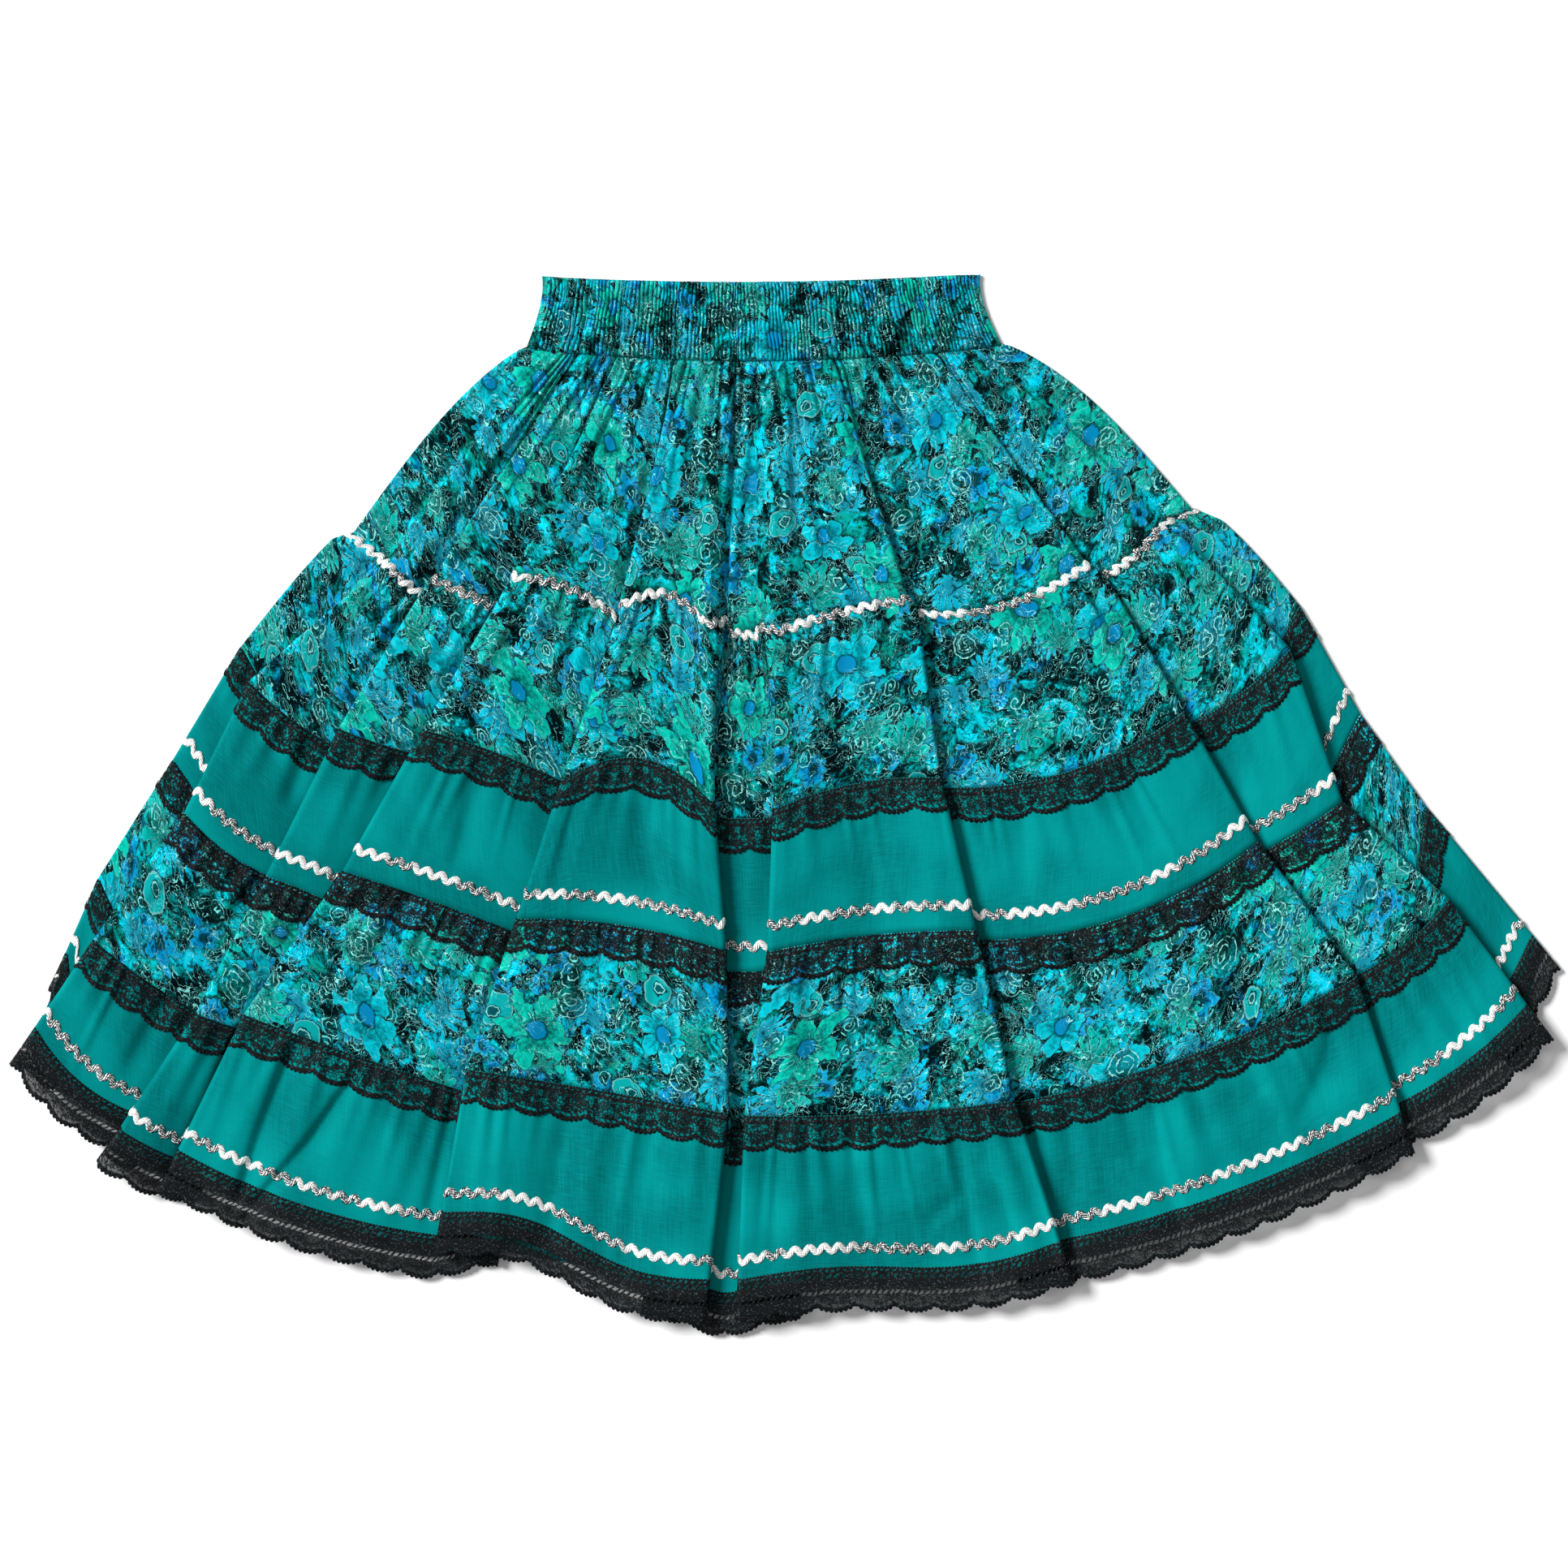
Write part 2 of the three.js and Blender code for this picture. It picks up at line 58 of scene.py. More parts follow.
# %% Rings: the seams and edges
RINGS = {
    "waist": dict(left_fold=(-159, 376), middle=(-15, 373), right_fold=(126, 378),
                  left_edge=(-170, 377), right_edge=(137, 378), rise=0.12, shape=0),
    "elastic": dict(left_fold=(-169, 324), middle=(-15, 317), right_fold=(141, 326),
                    left_edge=(-181, 326), right_edge=(152, 328), rise=0.25, shape=0),
    "seam12": dict(left_fold=(-294, 184), middle=(-15, 128), right_fold=(278, 204),
                   left_edge=(-304, 194), right_edge=(287, 211), rise=0.96, shape=0),
    "below12": dict(left_fold=(-303, 176), middle=(-15, 117), right_fold=(294, 195),
                    left_edge=(-317, 188), right_edge=(306, 201), rise=0.96, shape=0),
    "seam23": dict(left_fold=(-379, 88), middle=(-21, -2), right_fold=(357, 113),
                   left_edge=(-384, 113), right_edge=(364, 142), rise=0.98, shape=1),
    "seam34": dict(left_fold=(-423, -2), middle=(-24, -107), right_fold=(393, 6),
                   left_edge=(-432, 33), right_edge=(407, 65), rise=1, shape=2),
    "seam45": dict(left_fold=(-489, -95), middle=(-31, -218), right_fold=(466, -60),
                   left_edge=(-485, -51), right_edge=(454, -1), rise=1, shape=3),
    "hem": dict(left_fold=(-536, -165), middle=(-39, -342), right_fold=(532, -149),
                left_edge=(-513, -115), right_edge=(537, -101), rise=1, shape=4),
}
# the middle of the skirt's outline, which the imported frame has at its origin
OUTLINE_MIDDLE = np.array([2.08, 1.49, 0.0])
print(len(RINGS), "rings")

# %% Folds: how far along the front each lies, and how much cloth is tucked under it, ring by ring
# the fifth and the sixth are the two sides of the deep valley in the middle
FOLDS = [
    dict(opens="left", share=(0.03, 0, 0, 0, 0), overlap=(-8, 6, 22, 26, 30)),
    dict(opens="left", share=(0.087, 0.093, 0.083, 0.087, 0.077), overlap=(6, 14, 16, 9, 18)),
    dict(opens="left", share=(0.177, 0.166, 0.14, 0.118, 0.115), overlap=(8, 16, 20, 22, 22)),
    dict(opens="left", share=(0.311, 0.304, 0.291, 0.28, 0.282), overlap=(8, 20, 30, 36, 40)),
    dict(opens="right", share=(0.42, 0.445, 0.467, 0.467, 0.452), overlap=(-16, 6, 24, 36, 40)),
    dict(opens="left", share=(0.5, 0.5, 0.503, 0.479, 0.471), overlap=(-16, 6, 24, 36, 40)),
    dict(opens="right", share=(0.66, 0.656, 0.677, 0.666, 0.673), overlap=(8, 14, 22, 28, 32)),
    dict(opens="right", share=(0.878, 0.888, 0.923, 0.918, 0.896), overlap=(6, 16, 26, 32, 36)),
    dict(opens="right", share=(0.97, 1, 1, 1, 1), overlap=(-14, 8, 20, 26, 30)),
]
# the flap after each fold: how far its start, middle and end hang below the arc, at each of the five seams
FLAPS = [
    dict(steps=4, hang=((4, 11, 16), (-1, 8, 13), (2, 12, 15), (-2, 5, 10), (1, 13, 12))),
    dict(steps=3, hang=((1, 4, 7), (0, -1, -3), (15, 14, 16), (10, 9, 8), (26, 26, 25))),
    dict(steps=8, hang=((-18, -18, -2), (-21, -20, -9), (-9, -9, -1), (-3, -3, 3), (18, 15, 5))),
    dict(steps=8, hang=((-13, -24, -5), (-13, -34, -7), (-12, -19, -7), (-14, -14, -3), (-13, -12, 4)),
         swing=-8),
    dict(steps=2, hang=((-5, 2, 3), (4, 5, 4), (8, 9, 8), (8, 10, 8), (10, 14, 11))),
    dict(steps=10, hang=((0, -10, -12), (-2, -15, -10), (-6, -13, -6), (-1, 4, 11), (3, 0, 2)), swing=-5),
    dict(steps=10, hang=((-4, 8, 0), (-3, 10, 2), (1, 12, -1), (13, 17, 17), (2, 6, 10))),
    dict(steps=5, hang=((11, 9, -1), (12, 9, 1), (7, 5, 2), (17, 15, 6), (5, 6, 0))),
]
print(len(FOLDS), "folds and", len(FLAPS), "flaps between them")

# %% [markdown]
# ## From a table to a closed line
# A fold is an S of two round bends, so three layers of cloth lie over each other there, as they do
# on the real skirt. The heights and the overlaps are the solids' own, so the fine cloth lies inside
# the space they hold. Here the same S is made with many more points. Each point also keeps a share
# called shown: it is 0 where the cloth is tucked away and 1 where it lies open, and later it says
# how strongly gathers and creases may move the cloth.

# %% Heights and steps
# the cloth's thickness, and the heights of the back, the front, a fold above it and a flap's sag
CLOTH = 0.6
BACK_Z = CLOTH / 2
FRONT_Z = 4.2
FOLD_RISE = 12
FLAP_SAG = 5
# how far tucked cloth, a fold's edge, the waist's folds and the back's lower edge are drawn in
TUCKED_SHORTER = 3
EDGE_SHIFT = 2.5
WAIST_OVERLAP = -8
BACK_DRAWN_IN = 8
# steps round a side edge, round a bend of a fold and along the tuck between the bends
TURN_STEPS = 6
BEND_STEPS = 6
TUCK_STEPS = 3
# how shown grows: millimetres from a fold, its share right on a fold, and its haste at the two sides
EASE = 12
ON_FOLD = 0.4
SIDE_HASTE = 4
TUCK_HASTE = 3


def smooth(value):
    """Runs from 0 to 1 with soft ends, and stays at them outside."""
    part = np.clip(value, 0, 1)
    return part * part * (3 - 2 * part)


def mix(a, b, part):
    """The value at a share of the way from a to b."""
    return a + (b - a) * part


def through_three(values, part):
    """A smooth value through a start, a middle and an end."""
    start, middle, end = values
    left = 2 * (part - 0.5) * (part - 1)
    centre = -4 * part * (part - 1)
    return start * left + middle * centre + end * 2 * part * (part - 0.5)


def arc_through(a, b, c):
    """The circle through three points as a function of (along, hang), and its length from a to c."""
    (ax, ay), (bx, by), (cx, cy) = a, b, c
    d = 2 * (ax * (by - cy) + bx * (cy - ay) + cx * (ay - by))
    a2, b2, c2 = ax * ax + ay * ay, bx * bx + by * by, cx * cx + cy * cy
    x = (a2 * (by - cy) + b2 * (cy - ay) + c2 * (ay - by)) / d
    y = (a2 * (cx - bx) + b2 * (ax - cx) + c2 * (bx - ax)) / d
    radius = math.hypot(ax - x, ay - y)
    start = math.atan2(ax - x, y - ay)
    end = math.atan2(cx - x, y - cy)

    def at(along, hang):
        angle = start + along / radius
        return x + (radius + hang) * np.sin(angle), y - (radius + hang) * np.cos(angle)

    return at, radius * (end - start)


def fold_profile(overlap, rise):
    """A fold from its tucked end up to its flap: distance inward, height and share of the way up."""
    count = 2 * BEND_STEPS + TUCK_STEPS
    up = np.arange(count + 1) / count
    if overlap < 0:
        return overlap * (1 - up), rise * smooth(up), up
    bend = rise / 4
    turn = np.linspace(0, np.pi, BEND_STEPS + 1)
    run = np.linspace(0, 1, TUCK_STEPS + 1)[1:-1]
    inward = [overlap + bend * np.sin(turn), overlap * (1 - run), -bend * np.sin(turn)]
    height = [bend * (1 - np.cos(turn)), 2 * bend + 0 * run, bend * (3 - np.cos(turn))]
    return np.concatenate(inward), np.concatenate(height), up


def edge_direction(name, side, sign):
    """The way out of the garment at a side edge, square to the line of the edges above and below."""
    names = list(RINGS)
    i = names.index(name)
    above = RINGS[names[max(i - 1, 0)]][side]
    below = RINGS[names[min(i + 1, len(names) - 1)]][side]
    way = np.array([below[1] - above[1], above[0] - below[0]]) * sign
    return way / np.hypot(*way)


print("a fold has", 2 * BEND_STEPS + TUCK_STEPS, "steps")


# %% One ring as an array
def make_ring(name, fine, side_steps, back_steps):
    """A closed line round the skirt as rows of x, y, z, shown and on_back, with fine steps a flap step."""
    ring = RINGS[name]
    at, length = arc_through(ring["left_fold"], ring["middle"], ring["right_fold"])
    rise = FOLD_RISE * ring["rise"]
    shape = ring["shape"]
    gathered = name in ("waist", "elastic")
    parts = []

    def put(x, y, z, shown, on_back=0.0):
        parts.append(np.stack(np.broadcast_arrays(x, y, z, shown, on_back), -1).astype(float))

    def hang_at(flap, part):
        if gathered:
            return 0 * np.asarray(part, float)
        swing = FLAPS[flap].get("swing", 0) if name == "hem" else 0
        return through_three(FLAPS[flap]["hang"][shape], part) + swing * np.sin(2 * np.pi * part)

    def tucked_hang(fold):
        before = hang_at(max(fold - 1, 0), 1 if fold > 0 else 0)
        after = hang_at(min(fold, len(FLAPS) - 1), 0 if fold < len(FLAPS) else 1)
        return min(before, after) - (0 if gathered else TUCKED_SHORTER)

    folds = []
    for fold in FOLDS:
        overlap = WAIST_OVERLAP if gathered else fold["overlap"][shape]
        inward = 1 if fold["opens"] == "left" else -1
        top = fold["share"][shape] * length + inward * EDGE_SHIFT
        tucked = top + inward * overlap
        folds.append(dict(opens=fold["opens"], inward=inward, overlap=overlap, top=top, tucked=tucked))

    def put_turn(edge, outward, low, high):
        radius = (high - low) / 2
        angle = np.pi * np.arange(TURN_STEPS) / TURN_STEPS
        out = abs(radius) * np.sin(angle)
        put(edge[0] + outward[0] * out, edge[1] + outward[1] * out, low + radius * (1 - np.cos(angle)), 0.0)

    def put_outer(edge, tucked, hang, leaving):
        inner = at(tucked, hang)
        part = np.arange(side_steps) / side_steps
        part = 1 - part if leaving else part
        x, y = mix(edge[0], inner[0], part), mix(edge[1], inner[1], part)
        near_tuck = 1.0 if gathered else smooth(TUCK_HASTE * (1 - part))
        put(x, y, FRONT_Z, smooth(SIDE_HASTE * part) * near_tuck)

    def put_fold(index):
        fold = folds[index]
        opens_right = fold["opens"] == "right"
        top_hang = hang_at(index - 1, 1) if opens_right else hang_at(index, 0)
        inward, height, up = fold_profile(fold["overlap"], rise)
        if opens_right:
            inward, height, up = inward[::-1], height[::-1], up[::-1]
        x, y = at(fold["top"] + fold["inward"] * inward, mix(tucked_hang(index), top_hang, up))
        open_slope = 1.0 if gathered else float(fold["overlap"] < 0)
        put(x[:-1], y[:-1], FRONT_Z + height[:-1], open_slope)

    def put_flap(index):
        left, right = folds[index], folds[index + 1]
        on_top, stays_up = left["opens"] == "left", right["opens"] == "right"
        start = left["top"] if on_top else left["tucked"]
        end = right["top"] if stays_up else right["tucked"]
        clear_start = max(left["inward"] * left["overlap"], 0)
        clear_end = max(-right["inward"] * right["overlap"], 0)
        count = FLAPS[index]["steps"] * fine
        along = mix(start, end, np.arange(count) / count)
        across = np.clip((along - left["top"]) / (right["top"] - left["top"]), 0, 1)
        inside = np.clip((along - start - clear_start) / (end - start - clear_start - clear_end), 0, 1)
        if on_top and stays_up:
            height = rise - FLAP_SAG * ring["rise"] * 4 * inside * (1 - inside)
        elif on_top:
            height = rise * (1 - across ** 2)
        elif stays_up:
            height = rise * (1 - (1 - across) ** 2)
        else:
            height = 0 * along
        before = (left["top"] - along) / abs(left["overlap"])
        after = (along - right["top"]) / abs(right["overlap"])
        hang = hang_at(index, across)
        hang = np.where(before > 0, mix(hang, tucked_hang(index), before), hang)
        hang = np.where(after > 0, mix(hang, tucked_hang(index + 1), after), hang)
        near_left, near_right = (along - left["top"]) / EASE, (right["top"] - along) / EASE
        open_left = mix(ON_FOLD, 1, smooth(near_left)) if on_top else smooth(near_left)
        open_right = mix(ON_FOLD, 1, smooth(near_right)) if stays_up else smooth(near_right)
        x, y = at(along, hang)
        put(x, y, FRONT_Z + height, 1.0 if gathered else open_left * open_right)

    last = len(FOLDS) - 1
    put_turn(ring["left_edge"], edge_direction(name, "left_edge", 1), BACK_Z, FRONT_Z)
    put_outer(ring["left_edge"], folds[0]["tucked"], tucked_hang(0), False)
    for i in range(len(FOLDS)):
        put_fold(i)
        if i < last:
            put_flap(i)
    put_outer(ring["right_edge"], folds[last]["tucked"], tucked_hang(last), True)
    put_turn(ring["right_edge"], edge_direction(name, "right_edge", -1), FRONT_Z, BACK_Z)
    part = (1 + np.cos(np.pi * np.arange(back_steps) / back_steps)) / 2
    x, y = at(length * part, 0 if gathered else -BACK_DRAWN_IN)
    x[0], y[0] = ring["right_edge"]
    put(x, y, BACK_Z, 0.0, 1.0)
    return np.concatenate(parts)


print("the hem has", len(make_ring("hem", 12, 14, 60)), "points")

# %% [markdown]
# ## Cloth between two lines
# A tier is the cloth between two rings. It hangs nearly straight, so its rows are blended from one
# ring to the next, with a slight swell at the sides where the gathers fill it out. Each tier is
# kept as a grid of points with two measures for every point: cut is how far along the cut strip it
# lies, and down is how far below its upper edge. Prints, gathers and trims are all worked out in
# these two, so they follow the cloth round every fold. The cut is as wide as the tier's longest
# line, so a gathered edge squeezes the print as the real one does.

# %% Tiers and their gathers
# steps are for each flap step, each side and the back. spacing, width and reach are the mean distance
# between gathers, their width and their length down the cloth
TIERS = {
    "waistband": dict(rings=("waist", "elastic"), rows=(23,), steps=(18, 60, 600), swell=-3),
    "tier_1": dict(rings=("elastic", "seam12"), rows=(34,), steps=(11, 24, 70), swell=9,
                   gathers=dict(seed=11, spacing=11, width=5, depth=1.9, reach=120)),
    "tier_2": dict(rings=("seam12", "below12", "seam23"), rows=(5, 25), steps=(12, 14, 70), swell=3,
                   gathers=dict(seed=12, spacing=9, width=4.5, depth=1.7, reach=48)),
    "tier_3": dict(rings=("seam23", "seam34"), rows=(22,), steps=(12, 14, 70), swell=0,
                   gathers=dict(seed=13, spacing=14, width=4.5, depth=1.4, reach=44)),
    "tier_4": dict(rings=("seam34", "seam45"), rows=(28,), steps=(13, 14, 70), swell=0,
                   gathers=dict(seed=14, spacing=9, width=4.5, depth=1.7, reach=46)),
    "tier_5": dict(rings=("seam45", "hem"), rows=(30,), steps=(14, 14, 70), swell=0,
                   gathers=dict(seed=15, spacing=15, width=4.5, depth=1.6, reach=60)),
}


# the swell: how high up it is largest, how near the sides it stays and how far it lifts, each way out
SWELL_HIGH = 0.7
SWELL_ASIDE = 5
SWELL_LIFT = 0.7


def closed_length(points):
    """The length from each point of a closed line to the next."""
    return np.linalg.norm(np.roll(points, -1, axis=0) - points, axis=1)


def normals_of(points):
    """The way out of the cloth at each point of a grid that is closed across its columns."""
    across = np.roll(points, -1, axis=1) - np.roll(points, 1, axis=1)
    down = np.gradient(points, axis=0)
    normal = np.cross(down, across)
    return normal / np.maximum(np.linalg.norm(normal, axis=2, keepdims=True), 1e-9)


def blend_rings(tier):
    """The rows between a tier's rings, with x, y, z, shown and on_back in each point."""
    rings = [make_ring(name, *tier["steps"]) for name in tier["rings"]]
    rows = [rings[0][None]]
    for above, below, count in zip(rings, rings[1:], tier["rows"]):
        part = (np.arange(1, count + 1) / count)[:, None, None]
        rows.append(mix(above[None], below[None], part))
    grid = np.concatenate(rows)
    fall = np.linspace(0, 1, len(grid))[:, None]
    middle = grid[:, :, 0].mean(axis=1, keepdims=True)
    half = np.ptp(grid[:, :, 0], axis=1, keepdims=True) / 2
    side = (grid[:, :, 0] - middle) / half
    swell = tier["swell"] * np.sin(np.pi * fall ** SWELL_HIGH) * np.abs(side) ** SWELL_ASIDE
    grid[:, :, 0] += swell * np.sign(side)
    grid[:, :, 1] += swell * SWELL_LIFT
    return grid


def cut_positions(name):
    """How far along the cut strip each column lies. The waistband is cut in one piece with tier 1."""
    tier = TIERS[name]
    rings = ("elastic", "seam12") if name == "waistband" else tier["rings"]
    lengths = [closed_length(make_ring(ring, *tier["steps"])[:, :3]) for ring in rings]
    return np.concatenate([[0], np.cumsum(np.max(lengths, axis=0))])


print("cut widths:", {name: round(float(cut_positions(name)[-1])) for name in TIERS})


# %% Gathers, scattered unevenly from a seed so that they come out the same each time
# how far one gather strays from the mean spacing, width, depth and reach, as shares, and how far it leans
STRAY = dict(spacing=(0.45, 1.6), width=(0.6, 1.7), depth=(0.5, 1.5), reach=(0.35, 1.9))
LEAN = 0.12
# how much wider gathers get on the way down, how wavy they are and how far under the seam they start
FLARE = 0.9
WAVINESS = 1.6
SEAM_CLEAR = 3


def gather_depth(cut, down, height, width_all, seed, spacing, width, depth, reach):
    """How far the gathers under a seam move the cloth in or out, in millimetres."""
    chance = np.random.default_rng(seed)
    moved = np.zeros_like(down)
    place = 0.0
    while place < width_all:
        place += spacing * chance.uniform(*STRAY["spacing"])
        wide = width * chance.uniform(*STRAY["width"])
        deep = depth * chance.uniform(*STRAY["depth"])
        long = reach * chance.uniform(*STRAY["reach"])
        drift = chance.uniform(-LEAN, LEAN)
        near = (cut[None, :] - place - drift * down) / (wide * (1 + FLARE * down / height))
        fade = smooth(down / SEAM_CLEAR) * np.exp(-((down / long) ** 2))
        moved += deep * np.cos(WAVINESS * near) * np.exp(-near ** 2 / 2) * fade
    return moved


print("gathers are worked out along", sum(1 for t in TIERS.values() if "gathers" in t), "tiers")

# %% [markdown]
# ## The shirred waist
# Four narrow strips of elastic run between the rows of stitches at the waist. When they draw up,
# the cloth stands in fine upright ribs. A bump map would be quicker, but the ribs also show along
# the top edge, so they are made in the mesh: a wave across the cloth that is pinched to less
# than half its depth on each row of stitches.

# %% Waist ribs
RIB_PITCH = 2.6
RIB_DEPTH = 1.35
VALLEY_POWER = 2.1
CHANNEL_PUFF = 1.0
STITCH_ROWS = (0.0, 0.30, 0.66, 0.84, 1.0)
# what is left of the ribs' depth on a row of stitches
PINCHED = 0.45
# waves that make the ribs uneven: strength, length in millimetres and start
RIB_DRIFT = ((1.6, 7.3, 0), (1.1, 3.9, 1), (2.1, 23, 0))
# waves that lean with the way down: strength, turn from top to bottom and length in millimetres
RIB_SWAY = ((1.0, 9, 6), (0.7, 17, -4.1))


def channel_shape(fall):
    """0 on each row of stitches and 1 in the middle of each channel. fall is the share of the way down."""
    shape = np.zeros_like(fall)
    for above, below in zip(STITCH_ROWS, STITCH_ROWS[1:]):
        part = np.clip((fall - above) / (below - above), 0, 1)
        shape = np.maximum(shape, np.abs(np.sin(np.pi * part)) ** 0.7)
    return shape


def rib_wave(along, fall):
    """Uneven upright ribs, from -1 to 1, at distances along the waist and shares of the way down it."""
    phase = 2 * np.pi * along / RIB_PITCH
    drift = sum(strong * np.sin(along / length + start) for strong, length, start in RIB_DRIFT)
    sway = sum(strong * np.sin(turn * fall + along / length) for strong, turn, length in RIB_SWAY)
    wave = 1 - 2 * ((1 - np.cos(phase + drift + sway)) / 2) ** VALLEY_POWER
    return wave * (0.75 + 0.25 * np.sin(along / 5.3 + 6 * fall))


def waist_relief(grid):
    """The ribs and puffs of the waistband, in millimetres out of the cloth."""
    along = np.concatenate([[0], np.cumsum(closed_length(grid[0, :, :3]))[:-1]])
    fall = np.linspace(0, 1, len(grid))[:, None]
    shape = channel_shape(fall)
    height = RIB_DEPTH * mix(PINCHED, 1, shape)
    ribs = height * rib_wave(along[None, :], fall)
    return np.where(grid[:, :, 4] > 0.5, ribs - height, ribs + height + CHANNEL_PUFF * shape)


front_width = RINGS["waist"]["right_edge"][0] - RINGS["waist"]["left_edge"][0]
print("about", round(front_width / RIB_PITCH), "ribs across the front of the waist")

# %% [markdown]
# ## Creases, listed one by one
# Between the folds lie softer valleys, each with its own length, depth and lean. They are listed
# here as short lines on the table, with how wide and deep each is. A crease with a lean is steep on
# one side, like a fold that is just about to turn over. They could come from a cloth simulation,
# but listed one by one they lie where they should.

# %% Creases: half width, depth and lean, then points on the table
CREASES = {
    "tier_1": [
        (6, 2.6, 0.4, (10, 302), (10, 195)),
        (7, 3.4, 0.6, (60, 292), (64, 181), (79, 148)),
        (7, 3.0, -0.4, (82, 317), (97, 144)),
        (6, 2.6, 0.4, (108, 284), (123, 195), (135, 156)),
        (8, 2.4, -0.5, (-60, 300), (-66, 210), (-76, 150)),
        (8, 2.6, -0.4, (-112, 310), (-140, 220), (-156, 160)),
        (8, 2.4, -0.5, (-160, 305), (-205, 220), (-238, 165)),
        (7, 2.0, 0.2, (-30, 290), (-34, 190)),
        (8, 2.4, 0.4, (150, 305), (196, 200)),
    ],
    "tier_2": [
        (9, 4.6, 0.7, (79, 148), (89, 126), (110, 8)),
        (8, 3.6, 0.5, (140, 142), (149, 84), (156, 20)),
        (9, 3.0, 0.4, (200, 150), (230, 80), (246, 45)),
        (9, 3.0, -0.4, (-180, 140), (-210, 80), (-232, 42)),
        (8, 2.8, 0.3, (-60, 118), (-62, 60), (-64, 10)),
        (8, 2.4, -0.3, (30, 110), (38, 50), (44, 6)),
        (9, 2.4, -0.4, (-300, 130), (-336, 80)),
    ],
    "tier_3": [
        (9, 3.8, 0.5, (-96, 9), (-98, -28), (-91, -52), (-80, -66)),
        (9, 3.0, -0.4, (-216, 30), (-233, -46)),
        (9, 3.0, 0.3, (167, 8), (171, -68)),
        (10, 3.2, 0.4, (306, 62), (327, 3)),
        (12, 2.4, 0.2, (60, -8), (64, -84)),
        (12, 2.0, -0.2, (-150, 4), (-160, -62)),
        (12, 2.4, 0.3, (240, 36), (262, -36)),
        (9, 2.4, -0.3, (-330, 52), (-352, 2)),
    ],
    "tier_4": [
        (8, 3.4, 0.5, (204, -90), (212, -151)),
        (9, 3.0, 0.3, (90, -108), (96, -200)),
        (9, 3.0, 0.3, (300, -40), (330, -140)),
        (9, 3.0, -0.3, (-130, -84), (-150, -180)),
        (9, 3.0, -0.3, (-260, -40), (-300, -130)),
        (8, 2.4, -0.3, (20, -110), (22, -200)),
        (8, 2.2, 0.3, (140, -95), (154, -190)),
    ],
    "tier_5": [
        (7, 4.4, -0.8, (-340, -158), (-353, -181), (-372, -231), (-391, -290)),
        (6, 4.0, -0.8, (-301, -180), (-311, -198), (-335, -233), (-386, -292)),
        (9, 3.6, 0.3, (-150, -205), (-155, -216), (-161, -251), (-168, -318)),
        (9, 3.4, 0.2, (-92, -215), (-95, -290)),
        (8, 4.2, 0.5, (45, -222), (52, -270), (59, -300), (74, -326)),
        (7, 4.6, 0.8, (122, -222), (124, -234), (131, -289), (139, -330)),
        (7, 3.6, 0.6, (134, -240), (151, -265), (164, -312)),
        (6, 3.0, -0.6, (100, -296), (126, -274)),
        (7, 4.6, 0.8, (168, -212), (197, -324)),
        (8, 3.4, 0.3, (198, -210), (205, -263), (199, -322)),
        (8, 3.0, 0.3, (238, -205), (248, -252)),
        (7, 4.8, 0.8, (257, -192), (259, -205), (268, -251), (286, -310)),
        (9, 3.4, 0.2, (318, -172), (340, -205)),
        (10, 3.8, -0.4, (388, -146), (384, -182), (362, -226)),
        (9, 3.6, 0.4, (445, -96), (465, -124), (488, -166)),
        (9, 2.6, 0.2, (-12, -226), (-10, -330)),
        (9, 3.0, -0.3, (-230, -190), (-252, -296)),
        (9, 2.8, -0.3, (-430, -110), (-466, -190)),
    ],
}
# the share of a crease over which it fades in, its depth at the very end and how far it goes on beyond that
CREASE_END = 0.18
END_DEPTH = 0.25
END_REACH = 6
# how much narrower the steep side gets with the lean, and how much wider the other
NARROWER = 0.6
WIDER = 0.9


def crease_depth(x, y, wide, deep, lean, *line):
    """How far one crease presses the cloth in at each point, in millimetres."""
    points = np.array(line, float)
    pieces = np.linalg.norm(np.diff(points, axis=0), axis=1)
    start_of = np.concatenate([[0], np.cumsum(pieces)])
    nearest = np.full(x.shape, np.inf)
    across, along = np.zeros_like(x), np.zeros_like(x)
    for a, b, size, start in zip(points, points[1:], pieces, start_of):
        way = (b - a) / size
        part = np.clip((x - a[0]) * way[0] + (y - a[1]) * way[1], 0, size)
        off_x, off_y = x - a[0] - part * way[0], y - a[1] - part * way[1]
        reach = np.hypot(off_x, off_y)
        closer = reach < nearest
        nearest = np.where(closer, reach, nearest)
        across = np.where(closer, off_x * -way[1] + off_y * way[0], across)
        along = np.where(closer, start + part, along)
    share = along / start_of[-1]
    ends = smooth(share / CREASE_END) * smooth((1 - share) / CREASE_END)
    steep = np.where(across * np.sign(lean) > 0, 1 - NARROWER * abs(lean), 1 + WIDER * abs(lean))
    beyond = np.sqrt(np.maximum(nearest ** 2 - across ** 2, 0))
    pressed = deep * mix(END_DEPTH, 1, ends) * np.exp(-(nearest / (wide * steep)) ** 2)
    return pressed * np.exp(-(beyond / END_REACH) ** 2)


print(sum(len(rows) for rows in CREASES.values()), "creases placed by hand")

# %% [markdown]
# ## Laying out every tier
# Now each tier's relief is added along its normals: ribs at the waist, gathers under the seams and
# the creases. On the flat underside, the cloth can only be pressed up from the table, so the
# gathers there are shallow dents. A real gathered edge hides much of its cloth inside the gathers,
# so the print shows there less squeezed than the cut alone says. The print therefore has a run of
# its own, between the cut and the line that shows.

# %% Lay out the tiers
BACK_SHARE = 0.35
PRINT_EASE = 0.6
